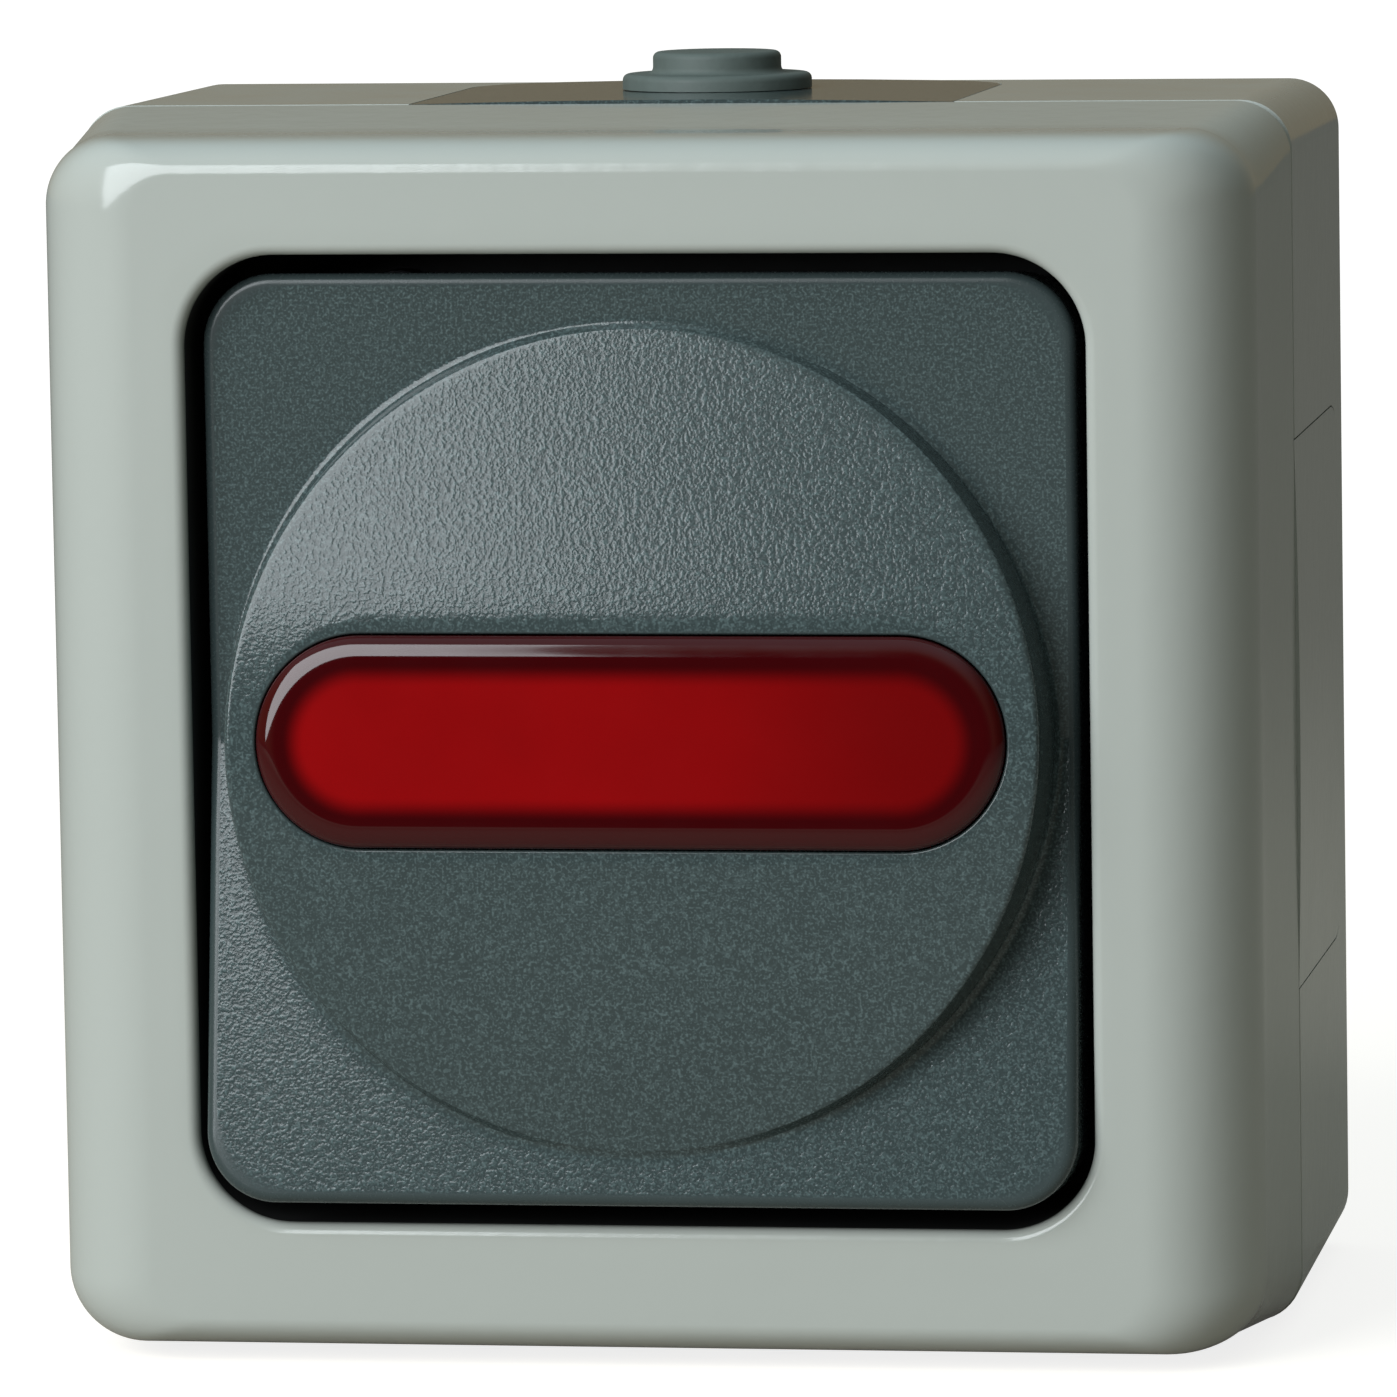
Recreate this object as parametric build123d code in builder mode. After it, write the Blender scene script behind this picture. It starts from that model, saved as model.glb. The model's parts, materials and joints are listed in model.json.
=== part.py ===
from build123d import *
import os
from math import cos, radians, sin, sqrt

os.makedirs("parts", exist_ok=True)

# Surface-mounted pilot light switch, in millimetres.
# The origin is the centre of the rear face that lies on the wall. X points right and Z up.
# The front faces -Y, so a depth in this file is a distance in front of the wall.

# Housing outline
housing_width = 75.0
housing_height = 75.0
base_depth = 29.0
base_radius = 3.1
base_lean_side = 0.1
base_lean_top = 0.5
rear_wall = 2.6
wall = 2.4
rear_edge_radius = 0.8
rim_chamfer = 0.4

# Joint between base and front frame
rim_land = 1.1
rabbet_depth = 2.0
tongue_wall = 1.1
seal_thickness = 0.7
joint_fit = 0.1

# Front frame
frame_depth = 19.4
crown_depth = 7.4
joint_radius = 3.4
crease_draft_side = 0.7
crease_draft_top = 0.8
crease_radius = 4.3
crown_reach_side = 6.7
crown_reach_top = 2.85
flat_radius = 2.6
crown_turns = (0, 22.5, 45, 67.5, 90)
front_wall = 2.4
crown_inset = 1.0
opening_border_side = 10.25
opening_border_top = 8.2
opening_radius = 5.6
opening_rise = 0.5
opening_edge_radius = 0.7
collar_wall = 1.5
well_depth = 12.9
floor_wall = 2.0
window_border_side = 3.0
window_border_top = 3.5
window_radius = 3.0

# Screwed fixings
pillar_radius = 3.5
screw_shank_radius = 1.5
screw_hole_gap = 0.05
screw_head_radius = 3.0
screw_head_height = 2.2
slot_width = 0.8
slot_depth = 1.0
frame_screw_x = 16.0
frame_screw_edge = 4.3
frame_pillar_top = 26.0
frame_screw_length = 15.5
seat_gap = 0.05
wall_hole_edge = 9.5
wall_hole_radius = 3.1
wall_sleeve_radius = 5.0
wall_sleeve_top = 8.0

# Plates that slide into the U-shaped cut-outs of the base
plate_width = 33.6
plate_rear = 2.9
plate_corner_radius = 4.5
plate_fit = 0.1
plate_crown = 0.22
flange_lap = 1.5
flange_wall = 1.2
rail_wall = 1.6
rail_height = 3.0
rail_lip = 1.0

# Cable grommet
grommet_flange_radius = 5.9
grommet_flange_height = 0.95
grommet_disc_radius = 4.0
grommet_disc_height = 1.35
grommet_edge_radius = 0.45
grommet_neck_radius = 4.7
grommet_tail_length = 6.0
grommet_tail_radius = 3.8
grommet_bore_radius = 2.9
grommet_skin = 0.8

# Insert, which is the switch mechanism on its steel bridge
insert_width = 44.0
insert_height = 38.0
insert_rear = 12.0
insert_floor = 2.0
bridge_rear = 27.0
bridge_wall = 1.2
bridge_arm = 9.0
bridge_border = 2.2
bridge_lap = 1.0
bridge_gap = 0.15
bridge_corner_radius = 3.0
seal_lap = 0.5
bridge_screw_edge = 4.0
bridge_screw_length = 10.0
cover_wall = 3.0
cover_screw_edge = 3.1
cover_screw_radius = 1.1
cover_screw_head_radius = 2.1
cover_screw_head_height = 1.2
cover_screw_length = 8.0
chamber_width = 14.0
chamber_border = 6.0
terminal_edge_side = 7.0
terminal_edge_top = 8.0
terminal_pocket = 9.0
driver_hole_radius = 2.8
wire_hole_radius = 2.0

# Contacts and terminals
strip_wall = 0.8
strip_floor = 16.2
strip_width = 5.0
terminal_block_width = 6.4
terminal_block_height = 8.0
terminal_block_depth = 6.4
wire_bore_radius = 1.6
terminal_screw_radius = 1.45
terminal_head_radius = 2.5
terminal_head_height = 1.8
terminal_head_gap = 1.0
earth_x = 18.0
earth_edge = 10.5
earth_post_inset = 1.0
earth_block = 7.0
earth_post_top = 6.0

# Rocker bearing and its two latched positions
pivot_back = 5.0
rocker_rise = 0.3
rocker_tilt = 4.5
trunnion_radius = 2.0
trunnion_fit = 0.05
ear_wall = 2.5
ear_gap = 0.4
ear_lip = 1.2
ear_foot = 2.4
ear_top = 1.2

# Contact lever
lever_depth = 21.5
lever_tilt = 8.0
lever_width = 5.0
lever_length = 18.0
lever_wall = 0.8
lever_corner = 1.0
lever_pin_radius = 0.8
lever_pin_fit = 0.05
lever_offset = 0.2
lever_ear_gap = 0.3
rivet_radius = 1.2
rivet_height = 0.8
rivet_place = 7.5
plinth_lap = 2.0
contact_clearance = 0.2
stop_clearance = 0.3

# Rocker cap
cap_gap_side = 1.0
cap_gap_top = 1.55
cap_radius = 3.4
cap_edge_radius = 0.9
cap_wall = 1.8
skirt_wall = 1.6
skirt_depth = 7.5
bulge_radius = 24.6
bulge_rise = 2.75
bulge_wall_lean = 5.0
cap_clip_width = 8.0
cap_clip_wall = 1.5
cap_clip_hook = 0.5
cap_clip_gap = 0.1
cap_rib_wall = 1.2
cap_rib_x = 20.0

# Lens
lens_width = 45.0
lens_height = 12.7
lens_fit = 0.15
lens_proud = 0.75
lens_edge_radius = 1.9
lens_wall = 1.5
lens_flange = 1.0
lens_seat_wall = 1.2

# Cradle and plunger
cradle_width = 18.4
cradle_height = 18.0
cradle_rear = 3.0
cradle_front = 2.2
guide_radius = 3.5
cradle_corner = 1.2
guide_end = 9.5
bore_radius = 2.3
bore_end = 1.0
plunger_fit = 0.05
plunger_body_length = 5.0
plunger_body_front = 3.9
plunger_nose_radius = 1.5
plunger_clearance = 0.3
plunger_slot_width = 4.4
plunger_slot_height = 8.4
spring_wire_radius = 0.28
spring_radius = 1.75
spring_turns = 4.5
spring_gap = 0.05
spring_wire_sides = 6

# Lamp
lamp_x = 16.0
lamp_radius = 2.3
lamp_fit = 0.1
lamp_rear = 33.0
lamp_front = 44.3
lamp_holder_width = 6.0
lamp_holder_low = 6.5
lamp_holder_high = 9.5
lamp_holder_wall = 2.8
lamp_holder_corner = 1.0
lamp_cup_radius = 3.3
lamp_cup_front = 37.0
resistor_radius = 1.15
resistor_length = 6.3
resistor_z = 8.0
lead_radius = 0.3

# Worked-out depths and sizes
crease_width = housing_width - 2 * crease_draft_side
crease_height = housing_height - 2 * crease_draft_top
flat_width = crease_width - 2 * crown_reach_side
flat_height = crease_height - 2 * crown_reach_top
opening_width = housing_width - 2 * opening_border_side
opening_height = housing_height - 2 * opening_border_top
window_width = insert_width - 2 * window_border_side
window_height = insert_height - 2 * window_border_top
cap_width = opening_width - 2 * cap_gap_side
cap_height = opening_height - 2 * cap_gap_top
frame_screw_z = opening_height / 2 - frame_screw_edge
wall_hole_x = housing_width / 2 - wall_hole_edge
wall_hole_z = housing_height / 2 - wall_hole_edge
bridge_width = insert_width + 2 * bridge_arm
bridge_height = insert_height + 2 * bridge_border
bridge_screw_x = bridge_width / 2 - bridge_screw_edge
cover_screw_z = insert_height / 2 - cover_screw_edge
chamber_height = insert_height - 2 * chamber_border
terminal_x = insert_width / 2 - terminal_edge_side
terminal_z = insert_height / 2 - terminal_edge_top
earth_z = housing_height / 2 - earth_edge
front_depth = base_depth + frame_depth
crease_depth = front_depth - crown_depth
rabbet_floor = base_depth - rabbet_depth
tongue_end = rabbet_floor + seal_thickness + seat_gap
floor_front = front_depth - well_depth
floor_rear = floor_front - floor_wall
cover_rear = bridge_rear + bridge_wall
cover_front = cover_rear + cover_wall
pivot_depth = front_depth - pivot_back
cradle_half = cradle_width / 2
ear_inner = cradle_half + ear_gap
ear_outer = ear_inner + ear_wall
strip_front = strip_floor + strip_wall
lever_front = lever_offset + lever_wall
bulge_curve_radius = (bulge_radius**2 + bulge_rise**2) / (2 * bulge_rise)
cap_under = pivot_back - cap_wall
lens_rear = cap_under - lens_flange
lens_front = pivot_back + bulge_rise + lens_proud
frame_screw_places = [(-frame_screw_x, frame_screw_z), (frame_screw_x, -frame_screw_z)]
bridge_screw_places = [(-bridge_screw_x, 0), (bridge_screw_x, 0)]
cover_screw_places = [(0, -cover_screw_z), (0, cover_screw_z)]
terminal_places = [(-terminal_x, -terminal_z), (-terminal_x, terminal_z), (terminal_x, -terminal_z)]


def front_plane(depth, rise=0.0):
    """Plane parallel to the wall that faces the front, with X right and Z up."""
    return Plane(origin=(0, -depth, rise), x_dir=(1, 0, 0), z_dir=(0, -1, 0))


def insert_plane(depth):
    """Front plane that is centred on the insert."""
    return front_plane(depth, rocker_rise)


def tilted_plane(depth, tilt, height):
    """Plane of a rocking piece: height in front of its hinge line, with the top leaning back by tilt."""
    normal = Vector(0, -cos(radians(tilt)), sin(radians(tilt)))
    hinge = Vector(0, -depth, rocker_rise)
    return Plane(origin=hinge + normal * height, x_dir=(1, 0, 0), z_dir=normal)


def rocker_plane(height):
    """Plane of the rocker, latched with its top pressed in."""
    return tilted_plane(pivot_depth, rocker_tilt, height)


def lever_plane(height):
    """Plane of the contact lever, which leans the other way."""
    return tilted_plane(lever_depth, -lever_tilt, height)


def rocker_side_plane(x):
    """Plane across the rocker's hinge line: local X runs up the rocker and local Y to its front."""
    up = Vector(0, sin(radians(rocker_tilt)), cos(radians(rocker_tilt)))
    return Plane(origin=(x, -pivot_depth, rocker_rise), x_dir=up, z_dir=(1, 0, 0))


def base_outline(depth, inset=0.0):
    """Outline of the base at a depth, drawn in from its outer face by inset."""
    share = 1 - depth / base_depth
    RectangleRounded(
        housing_width - 2 * (base_lean_side * share + inset),
        housing_height - 2 * (base_lean_top * share + inset),
        max(base_radius - inset, base_radius / 3),
    )


def wall_plane(side):
    """Plane on the outer face of a side wall: local X across it, local Y from the rear to the front."""
    half, lean, across, out = {
        "top": (housing_height / 2, base_lean_top, Vector(-1, 0, 0), Vector(0, 0, 1)),
        "right": (housing_width / 2, base_lean_side, Vector(0, 0, 1), Vector(1, 0, 0)),
        "left": (housing_width / 2, base_lean_side, Vector(0, 0, -1), Vector(-1, 0, 0)),
    }[side]
    forward = Vector(0, -base_depth, 0) + out * lean
    return Plane(origin=out * (half - lean), x_dir=across, z_dir=across.cross(forward))


def plate_outline(side_lap=0.0, rear_lap=0.0):
    """U-shaped outline that runs past the joint, larger than the plate by its laps."""
    with Locations((0, plate_rear - rear_lap)):
        Rectangle(plate_width + 2 * side_lap, base_depth, align=(Align.CENTER, Align.MIN))
    fillet(vertices().group_by(Axis.Y)[0], plate_corner_radius + side_lap)


def cut_front_rim():
    """Cut the rabbet that takes the seal and the tongue, and all that stands past the joint."""
    with BuildSketch(front_plane(rabbet_floor)) as rabbet:
        RectangleRounded(housing_width - 2 * rim_land, housing_height - 2 * rim_land, base_radius - rim_land)
    extrude(rabbet.sketch, amount=base_depth, mode=Mode.SUBTRACT)
    with BuildSketch(front_plane(base_depth)) as front:
        Rectangle(2 * housing_width, 2 * housing_height)
    extrude(front.sketch, amount=base_depth, mode=Mode.SUBTRACT)


def slotted_screws(places, seat, length, shank_radius, head_radius, head_height, plane_at):
    """Screws with slotted heads on a seat depth, their shanks running back from it."""
    with BuildSketch(plane_at(seat)) as heads:
        with Locations(*places):
            Circle(head_radius)
    extrude(heads.sketch, amount=head_height)
    with BuildSketch(plane_at(seat - length)) as shanks:
        with Locations(*places):
            Circle(shank_radius)
    extrude(shanks.sketch, amount=length)
    with BuildSketch(plane_at(seat + head_height - slot_depth)) as slots:
        with Locations(*places):
            Rectangle(2 * head_radius, slot_width)
    extrude(slots.sketch, amount=slot_depth, mode=Mode.SUBTRACT)


def bulge_profile(rise, curve_radius):
    """Region below an arc that crowns over the hinge line, drawn across the rocker."""
    low = pivot_back + rise - bulge_drop(bulge_radius, curve_radius)
    with BuildLine() as outline:
        ThreePointArc((-bulge_radius, low), (0, pivot_back + rise), (bulge_radius, low))
        Polyline((bulge_radius, low), (bulge_radius, 0), (-bulge_radius, 0), (-bulge_radius, low))
    make_face(outline.edges())


def bulge_drop(distance, curve_radius):
    """How far an arc of curve_radius has dropped at a distance from its crown."""
    return curve_radius - sqrt(curve_radius**2 - distance**2)


# Base: an open box with a rear wall, pillars, screw sleeves and three cut-outs with guide rails
with BuildPart() as base_housing:
    with BuildSketch(front_plane(0)):
        base_outline(0)
    with BuildSketch(front_plane(base_depth - rim_chamfer)):
        base_outline(base_depth)
    with BuildSketch(front_plane(base_depth)):
        base_outline(base_depth, rim_chamfer)
    loft(ruled=True)
    fillet(base_housing.faces().sort_by(Axis.Y)[-1].edges(), rear_edge_radius)
    with BuildSketch(front_plane(rear_wall)):
        base_outline(rear_wall, wall)
    with BuildSketch(front_plane(base_depth)):
        base_outline(base_depth, wall)
    loft(mode=Mode.SUBTRACT)
    for side in ("top", "right", "left"):
        with BuildSketch(wall_plane(side).offset(-wall - rail_height)):
            with Locations((0, rear_wall / 2)):
                with GridLocations(plate_width + 2 * (flange_lap + plate_fit) + rail_wall, 1, 2, 1):
                    Rectangle(rail_wall, base_depth, align=(Align.CENTER, Align.MIN))
        extrude(amount=rail_height + wall / 2)
        with BuildSketch(wall_plane(side).offset(-wall - rail_height)):
            with Locations((0, rear_wall / 2)):
                with GridLocations(plate_width + 2 * (flange_lap + plate_fit) - rail_lip, 1, 2, 1):
                    Rectangle(rail_lip, base_depth, align=(Align.CENTER, Align.MIN))
        extrude(amount=rail_height - flange_wall - plate_fit)
        with BuildSketch(wall_plane(side).offset(-wall - seat_gap)):
            plate_outline(plate_fit, plate_fit)
        extrude(amount=2 * wall, mode=Mode.SUBTRACT)
    with BuildSketch(front_plane(rear_wall / 2)):
        with Locations(*frame_screw_places):
            Circle(pillar_radius)
    extrude(amount=frame_pillar_top - rear_wall / 2)
    with BuildSketch(insert_plane(rear_wall / 2)):
        with Locations(*bridge_screw_places):
            Circle(pillar_radius)
    extrude(amount=bridge_rear - rear_wall / 2)
    with BuildSketch(front_plane(frame_pillar_top - frame_screw_length)):
        with Locations(*frame_screw_places):
            Circle(screw_shank_radius + screw_hole_gap)
    extrude(amount=frame_screw_length, mode=Mode.SUBTRACT)
    with BuildSketch(insert_plane(bridge_rear - bridge_screw_length)):
        with Locations(*bridge_screw_places):
            Circle(screw_shank_radius + screw_hole_gap)
    extrude(amount=bridge_screw_length, mode=Mode.SUBTRACT)
    with BuildSketch(front_plane(rear_wall / 2)):
        with GridLocations(2 * wall_hole_x, 2 * wall_hole_z, 2, 2):
            Circle(wall_sleeve_radius)
    extrude(amount=wall_sleeve_top - rear_wall / 2)
    with BuildSketch(front_plane(0)):
        with GridLocations(2 * wall_hole_x, 2 * wall_hole_z, 2, 2):
            Circle(wall_hole_radius)
    extrude(amount=wall_sleeve_top, mode=Mode.SUBTRACT)
    with BuildSketch(front_plane(rear_wall / 2)):
        with Locations((earth_x, earth_z)):
            Rectangle(earth_block - 2 * earth_post_inset, earth_block - 2 * earth_post_inset)
    extrude(amount=earth_post_top - rear_wall / 2)
    cut_front_rim()
base_housing.part.label = "base_housing"
export_step(base_housing.part, "parts/base_housing.step")


def side_plate(side, bored):
    """Plate with a slight crown and an inner flange that runs in the rails; bored for the grommet."""
    outer = wall_plane(side)
    with BuildSketch(outer.offset(-wall)) as panel:
        plate_outline()
    extrude(panel.sketch, amount=wall + plate_crown)
    crown_radius = (plate_width**2 / 4 + plate_crown**2) / (2 * plate_crown)
    with BuildSketch(Plane(origin=outer.origin, x_dir=outer.x_dir, z_dir=outer.y_dir)) as crown:
        with Locations((0, crown_radius - plate_crown)):
            Circle(crown_radius)
    extrude(crown.sketch, amount=2 * base_depth, mode=Mode.INTERSECT)
    with BuildSketch(outer.offset(-wall - flange_wall)) as flange:
        plate_outline(flange_lap)
    extrude(flange.sketch, amount=flange_wall - seat_gap)
    with BuildSketch(outer.offset(-wall - flange_wall)) as web:
        plate_outline()
    extrude(web.sketch, amount=flange_wall)
    if bored:
        with BuildSketch(outer.offset(-wall - flange_wall)) as bore:
            with Locations((0, base_depth / 2)):
                Circle(grommet_neck_radius + screw_hole_gap)
        extrude(bore.sketch, amount=2 * wall + flange_wall, mode=Mode.SUBTRACT)
    cut_front_rim()


with BuildPart() as cable_entry_plate:
    side_plate("top", True)
cable_entry_plate.part.label = "cable_entry_plate"
export_step(cable_entry_plate.part, "parts/cable_entry_plate.step")

with BuildPart() as blank_plate_right:
    side_plate("right", False)
blank_plate_right.part.label = "blank_plate_right"
export_step(blank_plate_right.part, "parts/blank_plate_right.step")

with BuildPart() as blank_plate_left:
    side_plate("left", False)
blank_plate_left.part.label = "blank_plate_left"
export_step(blank_plate_left.part, "parts/blank_plate_left.step")

# Grommet: a closed rubber plug with a flange on each face of the plate and a tapered tail inside
grommet_seat = wall_plane("top").offset(plate_crown + seat_gap)
grommet_inner = -(wall + flange_wall + plate_crown + 2 * seat_gap)
with BuildPart() as cable_grommet:
    with BuildSketch(grommet_seat):
        with Locations((0, base_depth / 2)):
            Circle(grommet_flange_radius)
    extrude(amount=grommet_flange_height)
    fillet(cable_grommet.faces().sort_by(Axis.Z)[-1].edges(), grommet_edge_radius)
    with BuildSketch(grommet_seat.offset(grommet_flange_height / 2)):
        with Locations((0, base_depth / 2)):
            Circle(grommet_disc_radius)
    extrude(amount=grommet_flange_height / 2 + grommet_disc_height)
    fillet(cable_grommet.faces().sort_by(Axis.Z)[-1].edges(), grommet_edge_radius)
    with BuildSketch(grommet_seat.offset(grommet_inner)):
        with Locations((0, base_depth / 2)):
            Circle(grommet_neck_radius)
    extrude(amount=-grommet_inner)
    with BuildSketch(grommet_seat.offset(grommet_inner)):
        with Locations((0, base_depth / 2)):
            Circle(grommet_flange_radius)
    extrude(amount=-grommet_flange_height)
    with BuildSketch(grommet_seat.offset(grommet_inner - grommet_flange_height)):
        with Locations((0, base_depth / 2)):
            Circle(grommet_neck_radius)
    with BuildSketch(grommet_seat.offset(grommet_inner - grommet_tail_length)):
        with Locations((0, base_depth / 2)):
            Circle(grommet_tail_radius)
    loft()
    with BuildSketch(grommet_seat.offset(grommet_inner - grommet_tail_length)):
        with Locations((0, base_depth / 2)):
            Circle(grommet_bore_radius)
    extrude(
        amount=grommet_tail_length - grommet_inner + grommet_flange_height + grommet_disc_height - grommet_skin,
        mode=Mode.SUBTRACT,
    )
cable_grommet.part.label = "cable_grommet"
export_step(cable_grommet.part, "parts/cable_grommet.step")

# Seal: a rubber ring in the rabbet of the base, under the tongue of the front frame
with BuildPart() as frame_seal:
    with BuildSketch(front_plane(rabbet_floor)):
        RectangleRounded(
            housing_width - 2 * (rim_land + joint_fit),
            housing_height - 2 * (rim_land + joint_fit),
            base_radius - rim_land,
        )
        RectangleRounded(
            housing_width - 2 * (rim_land + joint_fit + tongue_wall),
            housing_height - 2 * (rim_land + joint_fit + tongue_wall),
            base_radius / 3,
            mode=Mode.SUBTRACT,
        )
    extrude(amount=seal_thickness)
frame_seal.part.label = "frame_seal"
export_step(frame_seal.part, "parts/frame_seal.step")


def crown_outline(turn, flank_inset=0.0, flat_inset=0.0):
    """Outline of the rounded crown at a turn of 0 to 90 degrees from its flank to its flat front."""
    out = cos(radians(turn))
    inset = flat_inset + (flank_inset - flat_inset) * out
    RectangleRounded(
        flat_width + (crease_width - flat_width) * out - 2 * inset,
        flat_height + (crease_height - flat_height) * out - 2 * inset,
        flat_radius + (crease_radius - flat_radius) * out - inset / 2,
    )


# Front frame: a shell with drafted flanks, a rounded crown, and a well whose floor takes its screws
with BuildPart() as front_frame:
    with BuildSketch(front_plane(base_depth)):
        RectangleRounded(housing_width, housing_height, joint_radius)
    with BuildSketch(front_plane(crease_depth)):
        RectangleRounded(crease_width, crease_height, crease_radius)
    loft()
    for turn in crown_turns:
        with BuildSketch(front_plane(crease_depth + crown_depth * sin(radians(turn)))):
            crown_outline(turn)
    loft()
    with BuildSketch(front_plane(base_depth)):
        RectangleRounded(housing_width - 2 * wall, housing_height - 2 * wall, joint_radius - wall / 2)
    with BuildSketch(front_plane(crease_depth)):
        RectangleRounded(crease_width - 2 * wall, crease_height - 2 * wall, crease_radius - wall / 2)
    loft(mode=Mode.SUBTRACT)
    for turn in crown_turns:
        with BuildSketch(front_plane(crease_depth + (crown_depth - front_wall) * sin(radians(turn)))):
            crown_outline(turn, wall, crown_inset)
    loft(mode=Mode.SUBTRACT)
    with BuildSketch(front_plane(floor_rear, opening_rise)):
        RectangleRounded(
            opening_width + 2 * collar_wall, opening_height + 2 * collar_wall, opening_radius + collar_wall
        )
    extrude(amount=well_depth + floor_wall - front_wall / 2)
    with BuildSketch(front_plane(frame_pillar_top + seat_gap)):
        with Locations(*frame_screw_places):
            Circle(pillar_radius)
    extrude(amount=floor_rear - frame_pillar_top)
    with BuildSketch(front_plane(tongue_end)):
        RectangleRounded(
            housing_width - 2 * (rim_land + joint_fit),
            housing_height - 2 * (rim_land + joint_fit),
            base_radius - rim_land,
        )
        RectangleRounded(
            housing_width - 2 * (rim_land + joint_fit + tongue_wall),
            housing_height - 2 * (rim_land + joint_fit + tongue_wall),
            base_radius / 3,
            mode=Mode.SUBTRACT,
        )
    extrude(amount=base_depth - tongue_end + tongue_wall)
    with BuildSketch(front_plane(floor_front, opening_rise)):
        RectangleRounded(opening_width, opening_height, opening_radius)
    extrude(amount=2 * well_depth, mode=Mode.SUBTRACT)
    with BuildSketch(insert_plane(floor_rear)):
        RectangleRounded(window_width, window_height, window_radius)
    extrude(amount=2 * floor_wall, mode=Mode.SUBTRACT)
    with BuildSketch(front_plane(frame_pillar_top)):
        with Locations(*frame_screw_places):
            Circle(screw_shank_radius + screw_hole_gap)
    extrude(amount=frame_depth, mode=Mode.SUBTRACT)
    fillet(front_frame.faces().sort_by(Axis.Y)[0].inner_wires()[0].edges(), opening_edge_radius)
front_frame.part.label = "front_frame"
export_step(front_frame.part, "parts/front_frame.step")

# Screws that hold the front frame, reached once the rocker is pulled off
with BuildPart() as frame_screws:
    slotted_screws(frame_screw_places, floor_front, frame_screw_length, screw_shank_radius,
                   screw_head_radius, screw_head_height, front_plane)
frame_screws.part.label = "frame_screws"
export_step(frame_screws.part, "parts/frame_screws.step")

# Rubber ring squeezed between the insert's cover and the floor of the well
with BuildPart() as splash_seal:
    with BuildSketch(insert_plane(cover_front + seat_gap)):
        RectangleRounded(insert_width - 2 * seal_lap, insert_height - 2 * seal_lap, window_radius)
        RectangleRounded(window_width + 2 * seal_lap, window_height + 2 * seal_lap, window_radius, mode=Mode.SUBTRACT)
    extrude(amount=floor_rear - cover_front - 2 * seat_gap)
splash_seal.part.label = "splash_seal"
export_step(splash_seal.part, "parts/splash_seal.step")

# Steel bridge that carries the insert on the base's pillars
with BuildPart() as support_bridge:
    with BuildSketch(insert_plane(bridge_rear + seat_gap)):
        RectangleRounded(bridge_width, bridge_height, bridge_corner_radius)
        Rectangle(
            insert_width - 2 * (bridge_lap - bridge_gap),
            insert_height - 2 * (bridge_lap - bridge_gap),
            mode=Mode.SUBTRACT,
        )
        with Locations(*bridge_screw_places):
            Circle(screw_shank_radius + bridge_gap, mode=Mode.SUBTRACT)
    extrude(amount=bridge_wall - 2 * seat_gap)
support_bridge.part.label = "support_bridge"
export_step(support_bridge.part, "parts/support_bridge.step")

with BuildPart() as bridge_screws:
    slotted_screws(bridge_screw_places, cover_rear, bridge_screw_length, screw_shank_radius,
                   screw_head_radius, screw_head_height, insert_plane)
bridge_screws.part.label = "bridge_screws"
export_step(bridge_screws.part, "parts/bridge_screws.step")

# Depths of the load strip and of the stop, from the lever's two positions
rivet_reach = (rivet_height - lever_offset) * cos(radians(lever_tilt)) + rivet_place * sin(radians(lever_tilt))
load_rivet_front = lever_depth - rivet_reach - contact_clearance
load_strip_front = load_rivet_front - rivet_height
load_strip_floor = load_strip_front - strip_wall
stop_front = (
    lever_depth
    + lever_offset * cos(radians(lever_tilt))
    - (lever_length / 2) * sin(radians(lever_tilt))
    - stop_clearance
)
load_strip_z = rivet_place
strip_outer = terminal_x + terminal_block_width / 2

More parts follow.
